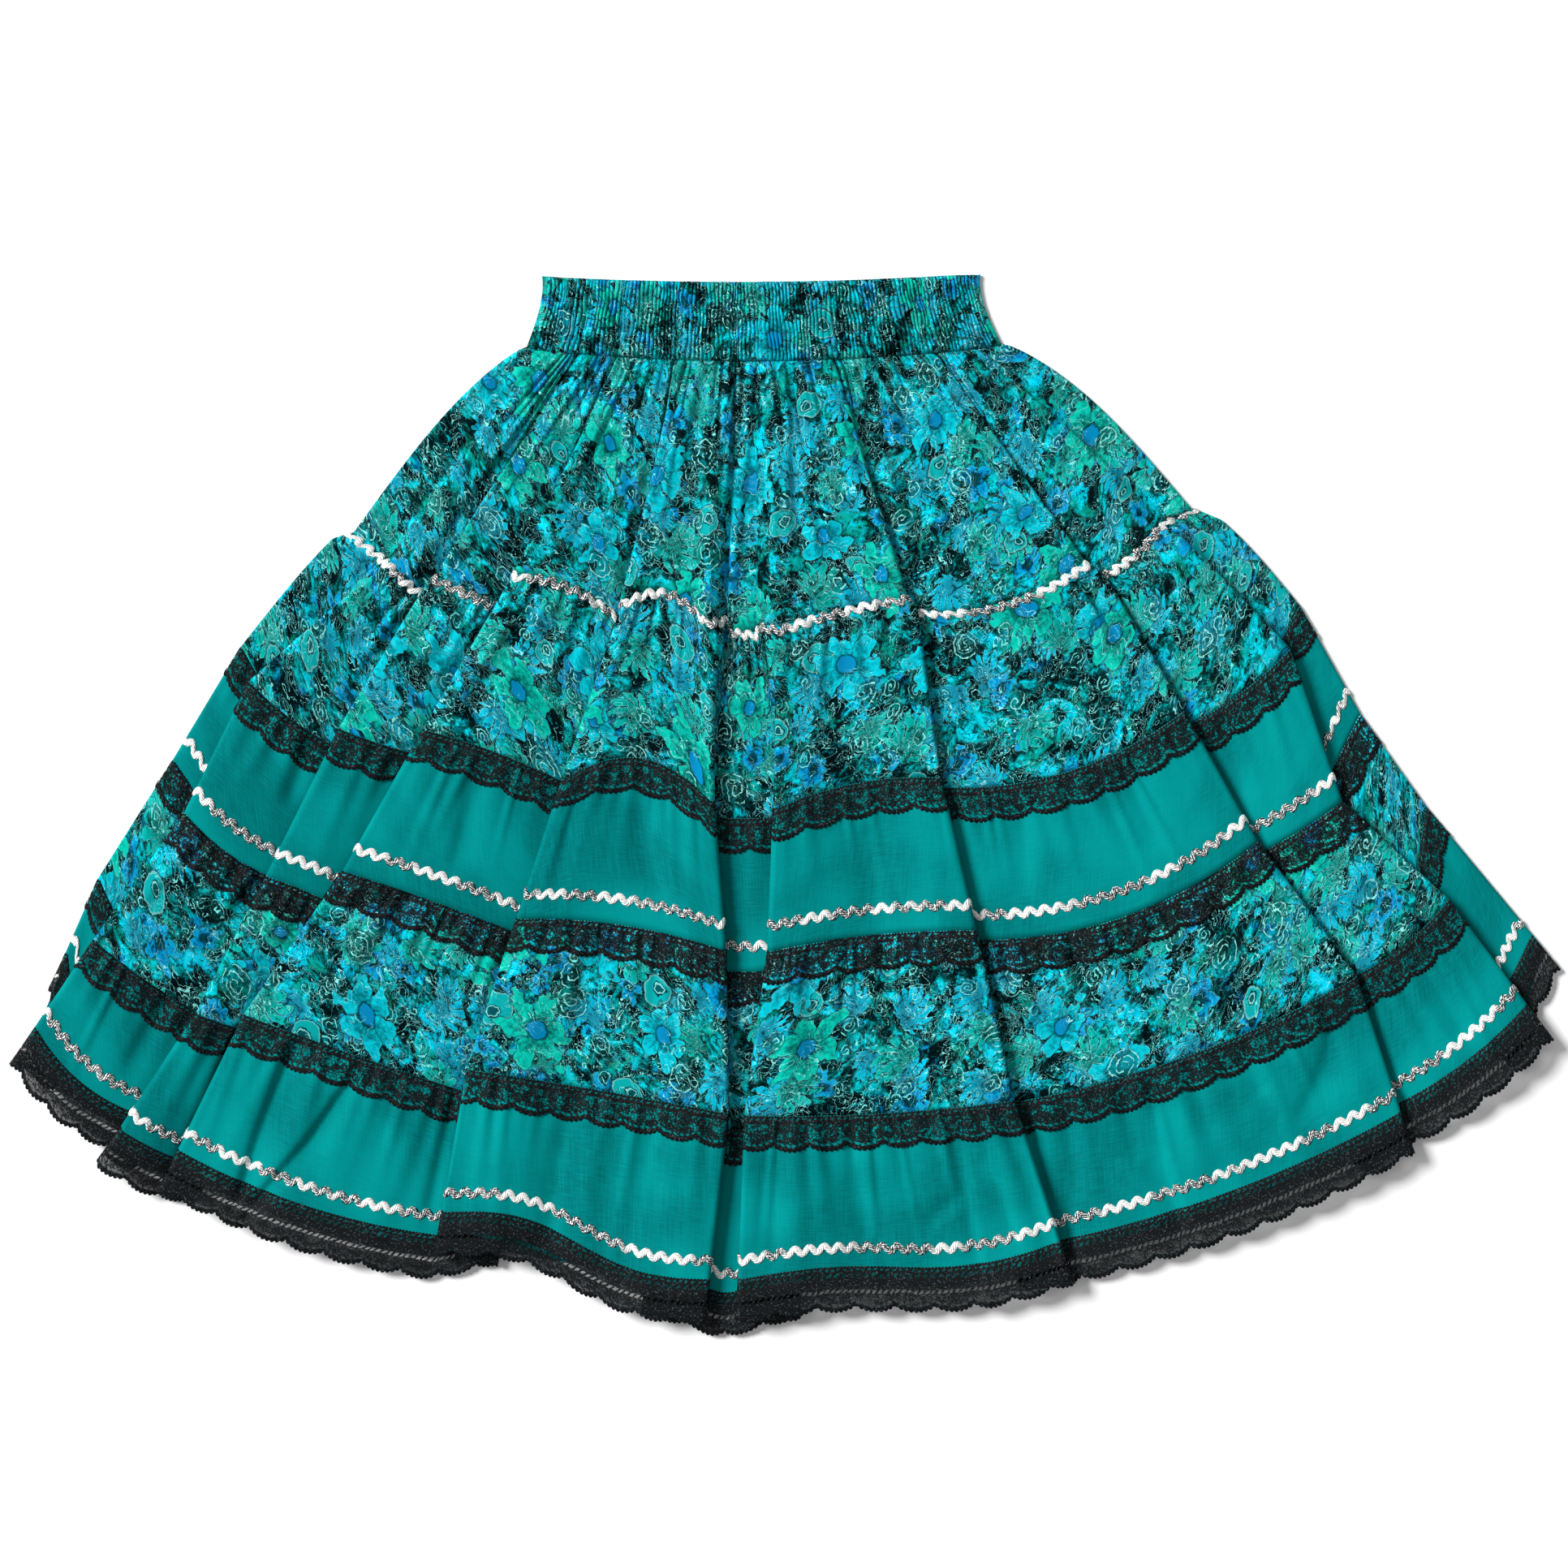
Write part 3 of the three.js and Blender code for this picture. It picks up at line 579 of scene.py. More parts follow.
# each tier's strip is cut from another place on the bolt; the waistband is one cloth with tier 1
BOLT_PLACE = {"waistband": (0, 0), "tier_1": (0, 0), "tier_2": (5700, 400), "tier_3": (0, 900),
              "tier_4": (11900, 900), "tier_5": (4000, 1300)}
# added to the distance of columns on the back, so that none of them is the nearest
FAR = 1000


def print_run(grid, cut):
    """How far along the print each point of a tier lies, measured from the middle of the front."""
    runs = []
    for row in grid[:, :, :3]:
        shown = np.concatenate([[0], np.cumsum(closed_length(row))])
        runs.append(mix(cut, shown, PRINT_EASE))
    runs = np.array(runs)
    middle = np.abs(grid[0, :, 0] - RINGS["waist"]["middle"][0] + FAR * grid[0, :, 4]).argmin()
    return runs - runs[:, middle:middle + 1] + cut[middle]


def lay_out(name):
    """A tier's grid of points with normals, cut and print positions and distances from its upper edge."""
    tier = TIERS[name]
    grid = blend_rings(tier)
    points = grid[:, :, :3]
    shown, on_back = grid[:, :, 3], grid[:, :, 4] > 0.5
    cut = cut_positions(name)
    steps = np.linalg.norm(np.diff(points, axis=0), axis=2)
    down = np.concatenate([np.zeros((1, steps.shape[1])), np.cumsum(steps, axis=0)])
    if name == "waistband":
        relief = waist_relief(grid) * np.where(on_back, 1, shown)
    else:
        height = float(down[-1].mean())
        relief = gather_depth(cut[:-1], down, height, cut[-1], **tier["gathers"])
        for crease in CREASES[name]:
            relief = relief - crease_depth(points[:, :, 0], points[:, :, 1], *crease)
        relief = np.where(on_back, -BACK_SHARE * np.abs(relief), relief * shown)
    points = points + normals_of(points) * relief[:, :, None]
    points[:, :, 2] = np.maximum(points[:, :, 2], BACK_Z)
    return dict(points=points, normals=normals_of(points), cut=cut, print=print_run(grid, cut), down=down,
                on_back=on_back)


cloth = {name: lay_out(name) for name in TIERS}
for name, made in cloth.items():
    print(name, made["points"].shape[:2], "points, cut", round(float(made["cut"][-1])), "mm")

# %% [markdown]
# ## From grids to meshes
# A woven cloth has two faces, so each tier becomes a closed wall: the grid moved out by half the
# cloth's thickness, the same grid moved in, and two rims. Solidify would do this too, but here the
# print's coordinates are laid on both faces at the same time. They are written as a UV map in
# metres of cut cloth.

# %% Make a mesh from a grid
def finish_mesh(name, vertices, faces, coords):
    """A smooth object from points in table millimetres, faces, and cut coordinates for their corners."""
    mesh = bpy.data.meshes.new(name)
    mesh.from_pydata(((np.asarray(vertices) - OUTLINE_MIDDLE) * MM).tolist(), [], faces.tolist())
    layer = mesh.uv_layers.new(name="Cut")
    layer.data.foreach_set("uv", (np.asarray(coords).reshape(-1, 2) * MM).ravel())
    mesh.polygons.foreach_set("use_smooth", np.ones(len(mesh.polygons), bool))
    mesh.update()
    made = bpy.data.objects.new(name, mesh)
    bpy.context.scene.collection.objects.link(made)
    return made


def wall(name, points, normals, across, down, thickness, closed):
    """A closed wall on a grid, with the cut coordinates across and down of every point of it."""
    rows, columns = points.shape[:2]
    skins = [points + normals * thickness / 2, points - normals * thickness / 2]
    vertices = np.concatenate([skin.reshape(-1, 3) for skin in skins])
    faces, coords = [], []

    def put(corners):
        faces.append(np.stack([(skin * rows + r) * columns + c % columns for skin, r, c in corners], -1))
        places = [np.stack([across[r, c], down[r, c % columns]], -1) for _, r, c in corners]
        coords.append(np.stack(places, 1))

    steps = columns if closed else columns - 1
    row, column = (a.ravel() for a in np.meshgrid(np.arange(rows - 1), np.arange(steps), indexing="ij"))
    loop = [(row + 1, column), (row + 1, column + 1), (row, column + 1), (row, column)]
    put([(0, r, c) for r, c in loop])
    put([(1, r, c) for r, c in loop[::-1]])
    edge = np.arange(steps)
    for at, order in ((0, 1), (rows - 1, -1)):
        r = np.full_like(edge, at)
        put([(0, r, edge), (0, r, edge + 1), (1, r, edge + 1), (1, r, edge)][::order])
    if not closed:
        edge = np.arange(rows - 1)
        for at, order in ((0, 1), (steps, -1)):
            c = np.full_like(edge, at)
            put([(0, edge, c), (1, edge, c), (1, edge + 1, c), (0, edge + 1, c)][::order])
    return finish_mesh(name, vertices, np.concatenate(faces), np.concatenate(coords))


# %% The tiers as objects
# the ribs bend so tightly that the waist needs the lawn's real thickness
WAIST_CLOTH = 0.3
pieces = {}
for name, made in cloth.items():
    top = -made["down"][-1].mean() if name == "waistband" else 0
    across = made["print"] + BOLT_PLACE[name][0]
    down = made["down"] + top + BOLT_PLACE[name][1]
    thick = WAIST_CLOTH if name == "waistband" else CLOTH
    pieces[name] = wall("cloth_" + name, made["points"], made["normals"], across, down, thick, True)
    print(name, len(pieces[name].data.polygons) * 2, "triangles")

# %% [markdown]
# ## Trims that follow the cloth
# Lace and rickrack are sewn to the finished tiers, so they go over every gather and round every
# fold. A helper finds the point of a tier at any column and any distance down, with the way out of
# the cloth there. A trim is then drawn on a flat strip, in its own length and width, and laid on
# the tier with that helper.

# %% Points on a tier
def on_cloth(made, column, depth):
    """Points and normals of a tier at fractional columns and at millimetres down from its upper edge."""
    points, normals, total = made["points"], made["normals"], made["points"].shape[1]
    first = np.floor(column).astype(int)
    found = []
    for at in (first % total, (first + 1) % total):
        fall = made["down"][:, at]
        row = np.clip((fall <= depth).sum(axis=0) - 1, 0, len(fall) - 2)
        above = np.take_along_axis(fall, row[None], 0)[0]
        below = np.take_along_axis(fall, row[None] + 1, 0)[0]
        part = ((depth - above) / (below - above))[..., None]
        point = mix(points[row, at], points[row + 1, at], part)
        found.append((point, mix(normals[row, at], normals[row + 1, at], np.clip(part, 0, 1))))
    share = (column - first)[..., None]
    point, normal = (mix(a, b, share) for a, b in zip(*found))
    return point, normal / np.linalg.norm(normal, axis=-1, keepdims=True)


def front_run(made, depth, step):
    """Columns every step millimetres along a tier, from one side edge to the other, and the lengths."""
    last = made["points"].shape[1] - int(made["on_back"][0].sum()) - TURN_STEPS // 2
    columns = np.arange(TURN_STEPS // 2, last + 1).astype(float)
    line, _ = on_cloth(made, columns, np.full(len(columns), float(depth)))
    length = np.concatenate([[0], np.cumsum(np.linalg.norm(np.diff(line, axis=0), axis=1))])
    stations = np.arange(0, length[-1], step)
    return np.interp(stations, length, columns), stations


print("a trim at the hem is", round(float(front_run(cloth["tier_5"], 100, 2)[1][-1])), "mm long")

# %% [markdown]
# ## Rickrack
# Rickrack is a flat braid woven in a wave. Its middle line is a sine along the tier, and the braid
# keeps its width square to that line, which makes the rounded teeth on both edges. It could be a
# curve object with a bevel, but laid this way it follows the gathers of the cloth under it.

# %% Rickrack sizes and places
# one wave along and its swing, then the braid's width, thickness, step along and gap to the cloth
RICKRACK_PITCH = 10.4
RICKRACK_SWING = 2.2
RICKRACK_BAND = 4.6
RICKRACK_THICK = 1.1
RICKRACK_STEP = 0.8
RICKRACK_LIFT = 0.25
# the tier that each lies on, the share of the way down it and the millimetres added to that
RICKRACKS = {
    "rickrack_1": ("tier_2", 0, 3),
    "rickrack_2": ("tier_3", 1, -18),
    "rickrack_3": ("tier_5", 1, -26),
}
# half of the braid's section, as shares of its half width and its thickness
SECTION = ((-1, 0), (-0.93, 0.55), (-0.5, 0.9), (0, 1), (0.5, 0.9), (0.93, 0.55), (1, 0))


def lay_rickrack(name, tier, share, offset):
    """Rickrack along a tier, with its middle a share of the way down it plus an offset in millimetres."""
    made = cloth[tier]
    height = made["down"][-1]
    columns, stations = front_run(made, float(np.mean(share * height + offset)), RICKRACK_STEP)
    wave = 2 * np.pi * stations / RICKRACK_PITCH
    swing = RICKRACK_SWING * np.sin(wave)
    slope = RICKRACK_SWING * 2 * np.pi / RICKRACK_PITCH * np.cos(wave)
    square = np.hypot(1, slope)
    profile = np.array(SECTION)
    off = profile[:, 0:1] * RICKRACK_BAND / 2
    along = stations[None] - off * slope / square
    depth = swing[None] + off / square
    column = np.interp(along, stations, columns)
    tall = np.interp(column, np.arange(len(height)), height)
    point, normal = on_cloth(made, column, share * tall + offset + depth)
    top = point + normal * (RICKRACK_LIFT + RICKRACK_THICK * profile[:, 1][:, None, None])
    flat_across = np.broadcast_to(stations, column.shape)
    flat_down = np.broadcast_to(off, column.shape)
    under = point[::-1] + normal[::-1] * RICKRACK_LIFT * 0.5
    ring = np.concatenate([top, under[1:-1]])
    return make_braid("braid_" + name, ring, np.concatenate([flat_across, flat_across[1:-1]]),
                      np.concatenate([flat_down, flat_down[::-1][1:-1]]))


def make_braid(name, ring, across, down):
    """A closed tube from its sections: ring is section points by stations. Both ends are capped."""
    count, stations = ring.shape[:2]
    i, j = (a.ravel() for a in np.meshgrid(np.arange(count), np.arange(stations - 1), indexing="ij"))
    k = (i + 1) % count
    loops = [(i, j), (i, j + 1), (k, j + 1), (k, j)]
    faces = [np.stack([a * stations + b for a, b in loops], -1)]
    coords = [np.stack([np.stack([across[a, b], down[a, b]], -1) for a, b in loops], 1)]
    first = np.arange(count // 2 - 1)
    for at, order in ((0, 1), (stations - 1, -1)):
        cap = [first, first + 1, count - 2 - first, count - 1 - first][::-order]
        faces.append(np.stack([a * stations + at for a in cap], -1))
        coords.append(np.stack([np.stack([across[a, at], down[a, at]], -1) for a in cap], 1))
    return finish_mesh(name, ring.reshape(-1, 3), np.concatenate(faces), np.concatenate(coords))


trims = {name: lay_rickrack(name, *where) for name, where in RICKRACKS.items()}
for name, made in trims.items():
    print(name, len(made.data.polygons) * 2, "triangles")

# %% [markdown]
# ## Lace edgings
# Each lace is a strip of patterned net with a scalloped lower edge. Only its upper edge is sewn
# down, so the free edge ripples a little above the cloth. The scallops are cut in the mesh, and the
# net itself is far too fine for that: its holes are left to the material.

# %% Lace sizes and places
LACE_WIDTH = 26
HEM_LACE_WIDTH = 33
HEM_LACE_ON_CLOTH = 13
LACE_STEP = 1.5
LACE_ROWS = 8
LACE_THICK = 0.3
SCALLOP_PITCH = 27
SCALLOP_DEPTH = 4.6
ROUNDNESS = 0.7
# how far the lace lies above the cloth, and how much more its free edge ripples
LACE_LIFT = 0.45
LACE_RIPPLE = 0.9
# the waves of the free edge: length in millimetres and start
RIPPLES = ((7.1, 0), (4.3, 2), (17, 0))
# the tier that each hangs on, the share of the way down it, the millimetres added to that and its width
LACES = {
    "lace_1": ("tier_3", 0, 0, LACE_WIDTH),
    "lace_2": ("tier_4", 0, 0, LACE_WIDTH),
    "lace_3": ("tier_5", 0, 0, LACE_WIDTH),
    "lace_4": ("tier_5", 1, -HEM_LACE_ON_CLOTH, HEM_LACE_WIDTH),
}


def lace_edge(along, width):
    """How far down a lace reaches: a row of round scallops with small cusps between them."""
    return width - SCALLOP_DEPTH * (1 - np.abs(np.sin(np.pi * along / SCALLOP_PITCH)) ** ROUNDNESS)


def lay_lace(name, tier, top, offset, width):
    """A strip of lace along a tier, from a share top of the way down it plus an offset in millimetres."""
    made = cloth[tier]
    height = made["down"][-1]
    start = float(np.mean(top * height + offset))
    columns, stations = front_run(made, start + width / 3, LACE_STEP)
    share = np.linspace(0, 1, LACE_ROWS)[:, None]
    depth = share * lace_edge(stations, width)[None]
    tall = np.interp(columns, np.arange(len(height)), height)
    column = np.broadcast_to(columns, depth.shape)
    point, normal = on_cloth(made, column, (top * tall + offset)[None] + depth)
    ripple = sum(np.sin(stations / length + begin) for length, begin in RIPPLES)
    lift = LACE_LIFT + LACE_RIPPLE * share ** 2 * (0.6 + 0.3 * ripple[None])
    point = point + normal * lift[..., None]
    across = np.broadcast_to(stations, depth.shape)
    lace_flat[name] = (float(stations[-1]), width)
    return wall("net_" + name, point, normal, across, depth, LACE_THICK, False)


lace_flat = {}
for name, where in LACES.items():
    trims[name] = lay_lace(name, *where)
    print(name, len(trims[name].data.polygons) * 2, "triangles")

# %% [markdown]
# ## Materials: a small kit
# Every finish is a node tree. One helper adds any node with its settings and links, and another
# turns the sRGB hex colours that one picks from a colour chart into the linear values that a shader
# needs. All patterns use the cut coordinates in millimetres, so that they lie on the cloth as they
# were printed or woven, before gathering.

# %% Node helper, colours and coordinates
def add(tree, kind, inputs=(), out=0, **settings):
    """Adds a node with its settings and links. Gives one of its outputs, or the node if out is None."""
    made = tree.nodes.new("ShaderNode" + kind)
    for name, value in settings.items():
        setattr(made, name, value)
    for key, value in inputs.items() if isinstance(inputs, dict) else enumerate(inputs):
        if isinstance(value, bpy.types.NodeSocket):
            tree.links.new(value, made.inputs[key])
        else:
            made.inputs[key].default_value = value
    return made if out is None else made.outputs[out]


def linear(hex_colour):
    """An sRGB hex colour as linear red, green, blue and alpha."""
    values = [int(hex_colour[i:i + 2], 16) / 255 for i in (1, 3, 5)]
    return tuple(v / 12.92 if v <= 0.04045 else ((v + 0.055) / 1.055) ** 2.4 for v in values) + (1.0,)


def start_material(name):
    """A new material: itself, its tree, its shader and the cut coordinates in millimetres."""
    material = bpy.data.materials.new(name)
    material.use_nodes = True
    tree = material.node_tree
    shader = tree.nodes["Principled BSDF"]
    cut = add(tree, "UVMap", uv_map="Cut")
    place = add(tree, "VectorMath", {0: cut, "Scale": 1 / MM}, operation="SCALE")
    return material, tree, shader, place


print("teal in linear light:", [round(v, 3) for v in linear("#00968A")])

# %% [markdown]
# ## The printed cotton
# The print is a common kind of all-over floral: daisies, scrolls and feathery leaves in turquoise,
# green and blue on a nearly black green ground, with fine pale outlines, as if painted wet. An
# image would hold only one size, so it is drawn with nodes. A Voronoi texture scatters the places
# of a motif, and each place gives its own flat coordinates, turned at random. In those, a petal, a
# scroll or a leaf is only a formula of angle and distance. The layers are painted over each other
# like screens in a print shop, and none of them copies a real drawing.

# %% Motif coordinates, stencils and paint
TIMES = dict(operation="MULTIPLY")
TIMES_PLUS = dict(operation="MULTIPLY_ADD")
MINUS = dict(operation="SUBTRACT")


def scatter(tree, place, spacing, looseness, shift):
    """A motif every spacing millimetres: the point from its middle, turned at random, and 3 chances."""
    moved = add(tree, "VectorMath", {0: place, 1: (shift, 0.37 * shift, 0)}, operation="ADD")
    settings = {"Vector": moved, "Scale": 1 / spacing, "Randomness": looseness}
    cells = add(tree, "TexVoronoi", settings, out=None, voronoi_dimensions="2D")
    local = add(tree, "VectorMath", {0: moved, 1: cells.outputs["Position"]}, **MINUS)
    chances = add(tree, "SeparateColor", [cells.outputs["Color"]], out=None).outputs
    turn = add(tree, "Math", [chances[0], 2 * math.pi], **TIMES)
    turned = add(tree, "VectorRotate", {"Vector": local, "Angle": turn}, rotation_type="Z_AXIS")
    return turned, chances


def polar(tree, vector):
    """The angle and the distance of a point from its motif's middle."""
    parts = add(tree, "SeparateXYZ", [vector], out=None).outputs
    angle = add(tree, "Math", [parts[1], parts[0]], operation="ARCTAN2")
    distance = add(tree, "VectorMath", [vector], out=1, operation="LENGTH")
    return angle, distance


def stencil(tree, *limits):
    """1 where all limits hold. A limit is a strength, or (value, where it starts, where it holds fully)."""
    made = None
    for limit in limits:
        if isinstance(limit, tuple):
            limit = add(tree, "MapRange", limit, interpolation_type="SMOOTHSTEP")
        made = limit if made is None else add(tree, "Math", [made, limit], **TIMES)
    return made


def paint(tree, under, colour, *limits):
    """Lays a colour, as a socket or a hex value, over another wherever every limit holds."""
    below, above = (linear(c) if isinstance(c, str) else c for c in (under, colour))
    return add(tree, "Mix", {0: stencil(tree, *limits), 6: below, 7: above}, out=2, data_type="RGBA")


def grow(tree, chances, size, share):
    """A motif's own reach in millimetres, and 1 where chance lets it be there."""
    reach = add(tree, "Math", [chances[1], 0.5 * size, 0.7 * size], **TIMES_PLUS)
    return reach, add(tree, "Math", [chances[2], share], operation="LESS_THAN")


print("motifs are scattered with Voronoi cells")


# %% Daisies: round petals about an oval middle
def paint_daisies(tree, place, under, spacing, size, petals, colours, shift, share):
    """Daisies over the colour below. colours are the petals' root and tip, the middle and the outline."""
    root, tip, middle, outline = colours
    turned, chances = scatter(tree, place, spacing, 0.8, shift)
    leaned = add(tree, "VectorMath", {0: turned, 1: (1, 1.25, 1)}, **TIMES)
    angle, distance = polar(tree, leaned)
    wave = add(tree, "Math", [add(tree, "Math", [angle, petals / 2], **TIMES)], operation="COSINE")
    wave = add(tree, "Math", [wave], operation="ABSOLUTE")
    lobe = add(tree, "Math", [wave, 0.5], operation="POWER")
    reach, present = grow(tree, chances, size, share)
    rim = add(tree, "Math", [lobe, 0.66, 0.34], **TIMES_PLUS)
    rim = add(tree, "Math", [rim, reach], **TIMES)
    uneven = add(tree, "TexNoise", {"Vector": place, "Scale": 1 / 12, "Detail": 1.0})
    rim = add(tree, "Math", [rim, add(tree, "Math", [uneven, 1.5, 0.25], **TIMES_PLUS)], **TIMES)
    inside = add(tree, "Math", [rim, distance], **MINUS)
    made = paint(tree, under, "#021A1C", (inside, -5, 0.2), present, 0.85)
    made = paint(tree, made, outline, (inside, -1.2, -0.1), present, 0.7)
    along = add(tree, "Math", [distance, rim], operation="DIVIDE")
    streaks = add(tree, "TexNoise", {"Vector": place, "Scale": 1 / 3.6, "Detail": 4.0, "Roughness": 0.75})
    along = add(tree, "Math", [streaks, 2.4, along], **TIMES_PLUS)
    petal_colour = paint(tree, root, tip, (along, 1.3, 2.3))
    made = paint(tree, made, petal_colour, (inside, -0.3, 0.6), present)
    made = paint(tree, made, "#03302F", (wave, 0.32, 0.1), (inside, 0, 1), present, 0.7)
    core = add(tree, "Math", [add(tree, "Math", [reach, 0.27], **TIMES), distance], **MINUS)
    made = paint(tree, made, "#03282B", (core, -2.0, -0.6), present, 0.8)
    return paint(tree, made, middle, (core, -0.6, 0.6), present, 0.9)


# %% Scrolls: one pale line wound round and round, worn away here and there
def paint_scrolls(tree, place, under, spacing, size, pitch, line, colour, shift, share):
    """Scrolls over the colour below. pitch is the distance between turns and line the line's width."""
    turned, chances = scatter(tree, place, spacing, 0.9, shift)
    angle, distance = polar(tree, turned)
    side = add(tree, "Math", [add(tree, "Math", [chances[1], 0.5], **MINUS)], operation="SIGN")
    turns = add(tree, "Math", [angle, side], **TIMES)
    turns = add(tree, "Math", [turns, 1 / (2 * math.pi)], **TIMES)
    wound = add(tree, "Math", [distance, 1 / pitch, turns], **TIMES_PLUS)
    off = add(tree, "Math", [add(tree, "Math", [wound], operation="FRACT"), 0.5], **MINUS)
    off = add(tree, "Math", [add(tree, "Math", [off], operation="ABSOLUTE"), pitch], **TIMES)
    reach = add(tree, "Math", [chances[2], 0.9 * size, 0.5 * size], **TIMES_PLUS)
    inside = add(tree, "Math", [reach, distance], **MINUS)
    present = add(tree, "Math", [chances[0], share], operation="LESS_THAN")
    wear = add(tree, "TexNoise", {"Vector": place, "Scale": 1 / 4.5, "Detail": 2.0})
    made = paint(tree, under, "#03302F", (inside, -0.4, 0.8), present, 0.5)
    limits = ((off, line * 0.8, line * 0.25), (inside, -0.4, 0.8), (wear, 0.4, 0.52), present)
    return paint(tree, made, colour, *limits)


# %% Seed heads: a tinted disc with a ring off its middle
def paint_seeds(tree, place, under, spacing, size, colours, shift, share):
    """Round heads with two pale rings over the colour below. colours are for the disc and the rings."""
    fill, ring = colours
    turned, chances = scatter(tree, place, spacing, 0.85, shift)
    leaned = add(tree, "VectorMath", {0: turned, 1: (1, 1.2, 1)}, **TIMES)
    _, distance = polar(tree, leaned)
    reach, present = grow(tree, chances, size, share)
    inside = add(tree, "Math", [reach, distance], **MINUS)
    made = paint(tree, under, "#021E22", (inside, -2.6, 0), present, 0.85)
    made = paint(tree, made, ring, (inside, -0.4, 0.4), present, 0.8)
    made = paint(tree, made, fill, (inside, 0.5, 1.3), present)
    pupil = add(tree, "VectorMath", {0: leaned, 1: (0.22 * size, 0, 0)}, **MINUS)
    _, near = polar(tree, pupil)
    small = add(tree, "Math", [add(tree, "Math", [reach, 0.42], **TIMES), near], **MINUS)
    made = paint(tree, made, "#03282B", (small, -0.9, -0.3), present)
    made = paint(tree, made, ring, (small, 0.1, 0.6), present)
    return paint(tree, made, "#044A50", (small, 1.0, 1.6), present)


# %% Feathery leaves: a fan of narrow leaflets
def paint_leaves(tree, place, under, spacing, size, leaflets, colours, shift, share):
    """Fans of leaflets over the colour below. colours are the leaflets' root and tip and their outline."""
    root, tip, outline = colours
    turned, chances = scatter(tree, place, spacing, 0.85, shift)
    angle, distance = polar(tree, turned)
    bend = add(tree, "Math", [distance, 0.022, angle], **TIMES_PLUS)
    spread = add(tree, "Math", [add(tree, "Math", [bend, 0.62], **TIMES)], operation="COSINE")
    spread = add(tree, "Math", [spread, 0.05], operation="MAXIMUM")
    reach, present = grow(tree, chances, size, share)
    comb = add(tree, "Math", [add(tree, "Math", [bend, leaflets], **TIMES)], operation="SINE")
    comb = add(tree, "Math", [comb], operation="ABSOLUTE")
    tips = add(tree, "Math", [comb, 0.4, 0.65], **TIMES_PLUS)
    rim = add(tree, "Math", [add(tree, "Math", [spread, reach], **TIMES), tips], **TIMES)
    inside = add(tree, "Math", [rim, distance], **MINUS)
    along = add(tree, "Math", [distance, rim], operation="DIVIDE")
    made = paint(tree, under, "#021E22", (inside, -3, 0.8), present, 0.85)
    made = paint(tree, made, outline, (comb, 0.12, 0.3), (inside, -0.3, 0.5), present, 0.9)
    leaf_colour = paint(tree, root, tip, (along, 0.2, 0.95))
    return paint(tree, made, leaf_colour, (comb, 0.3, 0.5), (inside, 0.4, 1.1), present)


# %% The ground: wet patches of colour under fine curling lines
GROUND_STOPS = ((0.42, "#010A0D"), (0.47, "#021C1E"), (0.51, "#03504F"), (0.555, "#04A0A2"),
                (0.63, "#05D6EC"))
DARK_GROUND = (0.52, 0.47)


def paint_ground(tree, place):
    """Mottled turquoise on near black with tints of blue and green, and the noise that lightens it."""
    patch = add(tree, "TexNoise", {"Vector": place, "Scale": 1 / 22, "Detail": 7.0, "Roughness": 0.66,
                                   "Distortion": 1.1})
    ramp = add(tree, "ValToRGB", [patch], out=None)
    while len(ramp.color_ramp.elements) < len(GROUND_STOPS):
        ramp.color_ramp.elements.new(0.5)
    for element, (position, colour) in zip(ramp.color_ramp.elements, GROUND_STOPS):
        element.position = position
        element.color = linear(colour)
    tint = add(tree, "TexNoise", {"Vector": place, "Scale": 1 / 26, "Detail": 3.0, "Roughness": 0.6})
    glow = add(tree, "TexNoise", {"Vector": place, "Scale": 1 / 38, "Detail": 5.0, "Roughness": 0.7})
    made = paint(tree, ramp.outputs[0], "#02CCEA", (glow, 0.53, 0.61), (patch, 0.43, 0.52), 0.9)
    made = paint(tree, made, "#0484D0", (tint, 0.59, 0.70), (patch, 0.44, 0.54), 0.75)
    return paint(tree, made, "#05947C", (tint, 0.46, 0.36), (patch, 0.43, 0.54), 0.7), patch


def paint_curls(tree, place, under, scale, levels, width, colour, *limits):
    """Thin curling lines in patches: contours of a twisted noise, width being a share of their spacing."""
    curl = add(tree, "TexNoise", {"Vector": place, "Scale": 1 / scale, "Detail": 1.0, "Distortion": 2.2})
    off = add(tree, "Math", [add(tree, "Math", [curl, levels], **TIMES)], operation="FRACT")
    off = add(tree, "Math", [add(tree, "Math", [off, 0.5], **MINUS)], operation="ABSOLUTE")
    where = add(tree, "TexNoise", {"Vector": place, "Scale": 1 / (1.1 * scale), "Detail": 1.0})
    return paint(tree, under, colour, (off, width, 0.4 * width), (where, 0.43, 0.52), *limits)


def paint_wet(tree, place, under):
    """Fine dark and bright mottling over all that is painted so far, as where wet dyes run together."""
    specks = add(tree, "TexNoise", {"Vector": place, "Scale": 1 / 7, "Detail": 5.0, "Roughness": 0.74,
                                    "Distortion": 1.2})
    made = paint(tree, under, "#021619", (specks, 0.50, 0.39), 0.88)
    return paint(tree, made, "#06CCDC", (specks, 0.56, 0.70), 0.55)


# %% The print, screen by screen
# how widely the drawing wanders about its even shapes, in millimetres
WANDER = 11.0


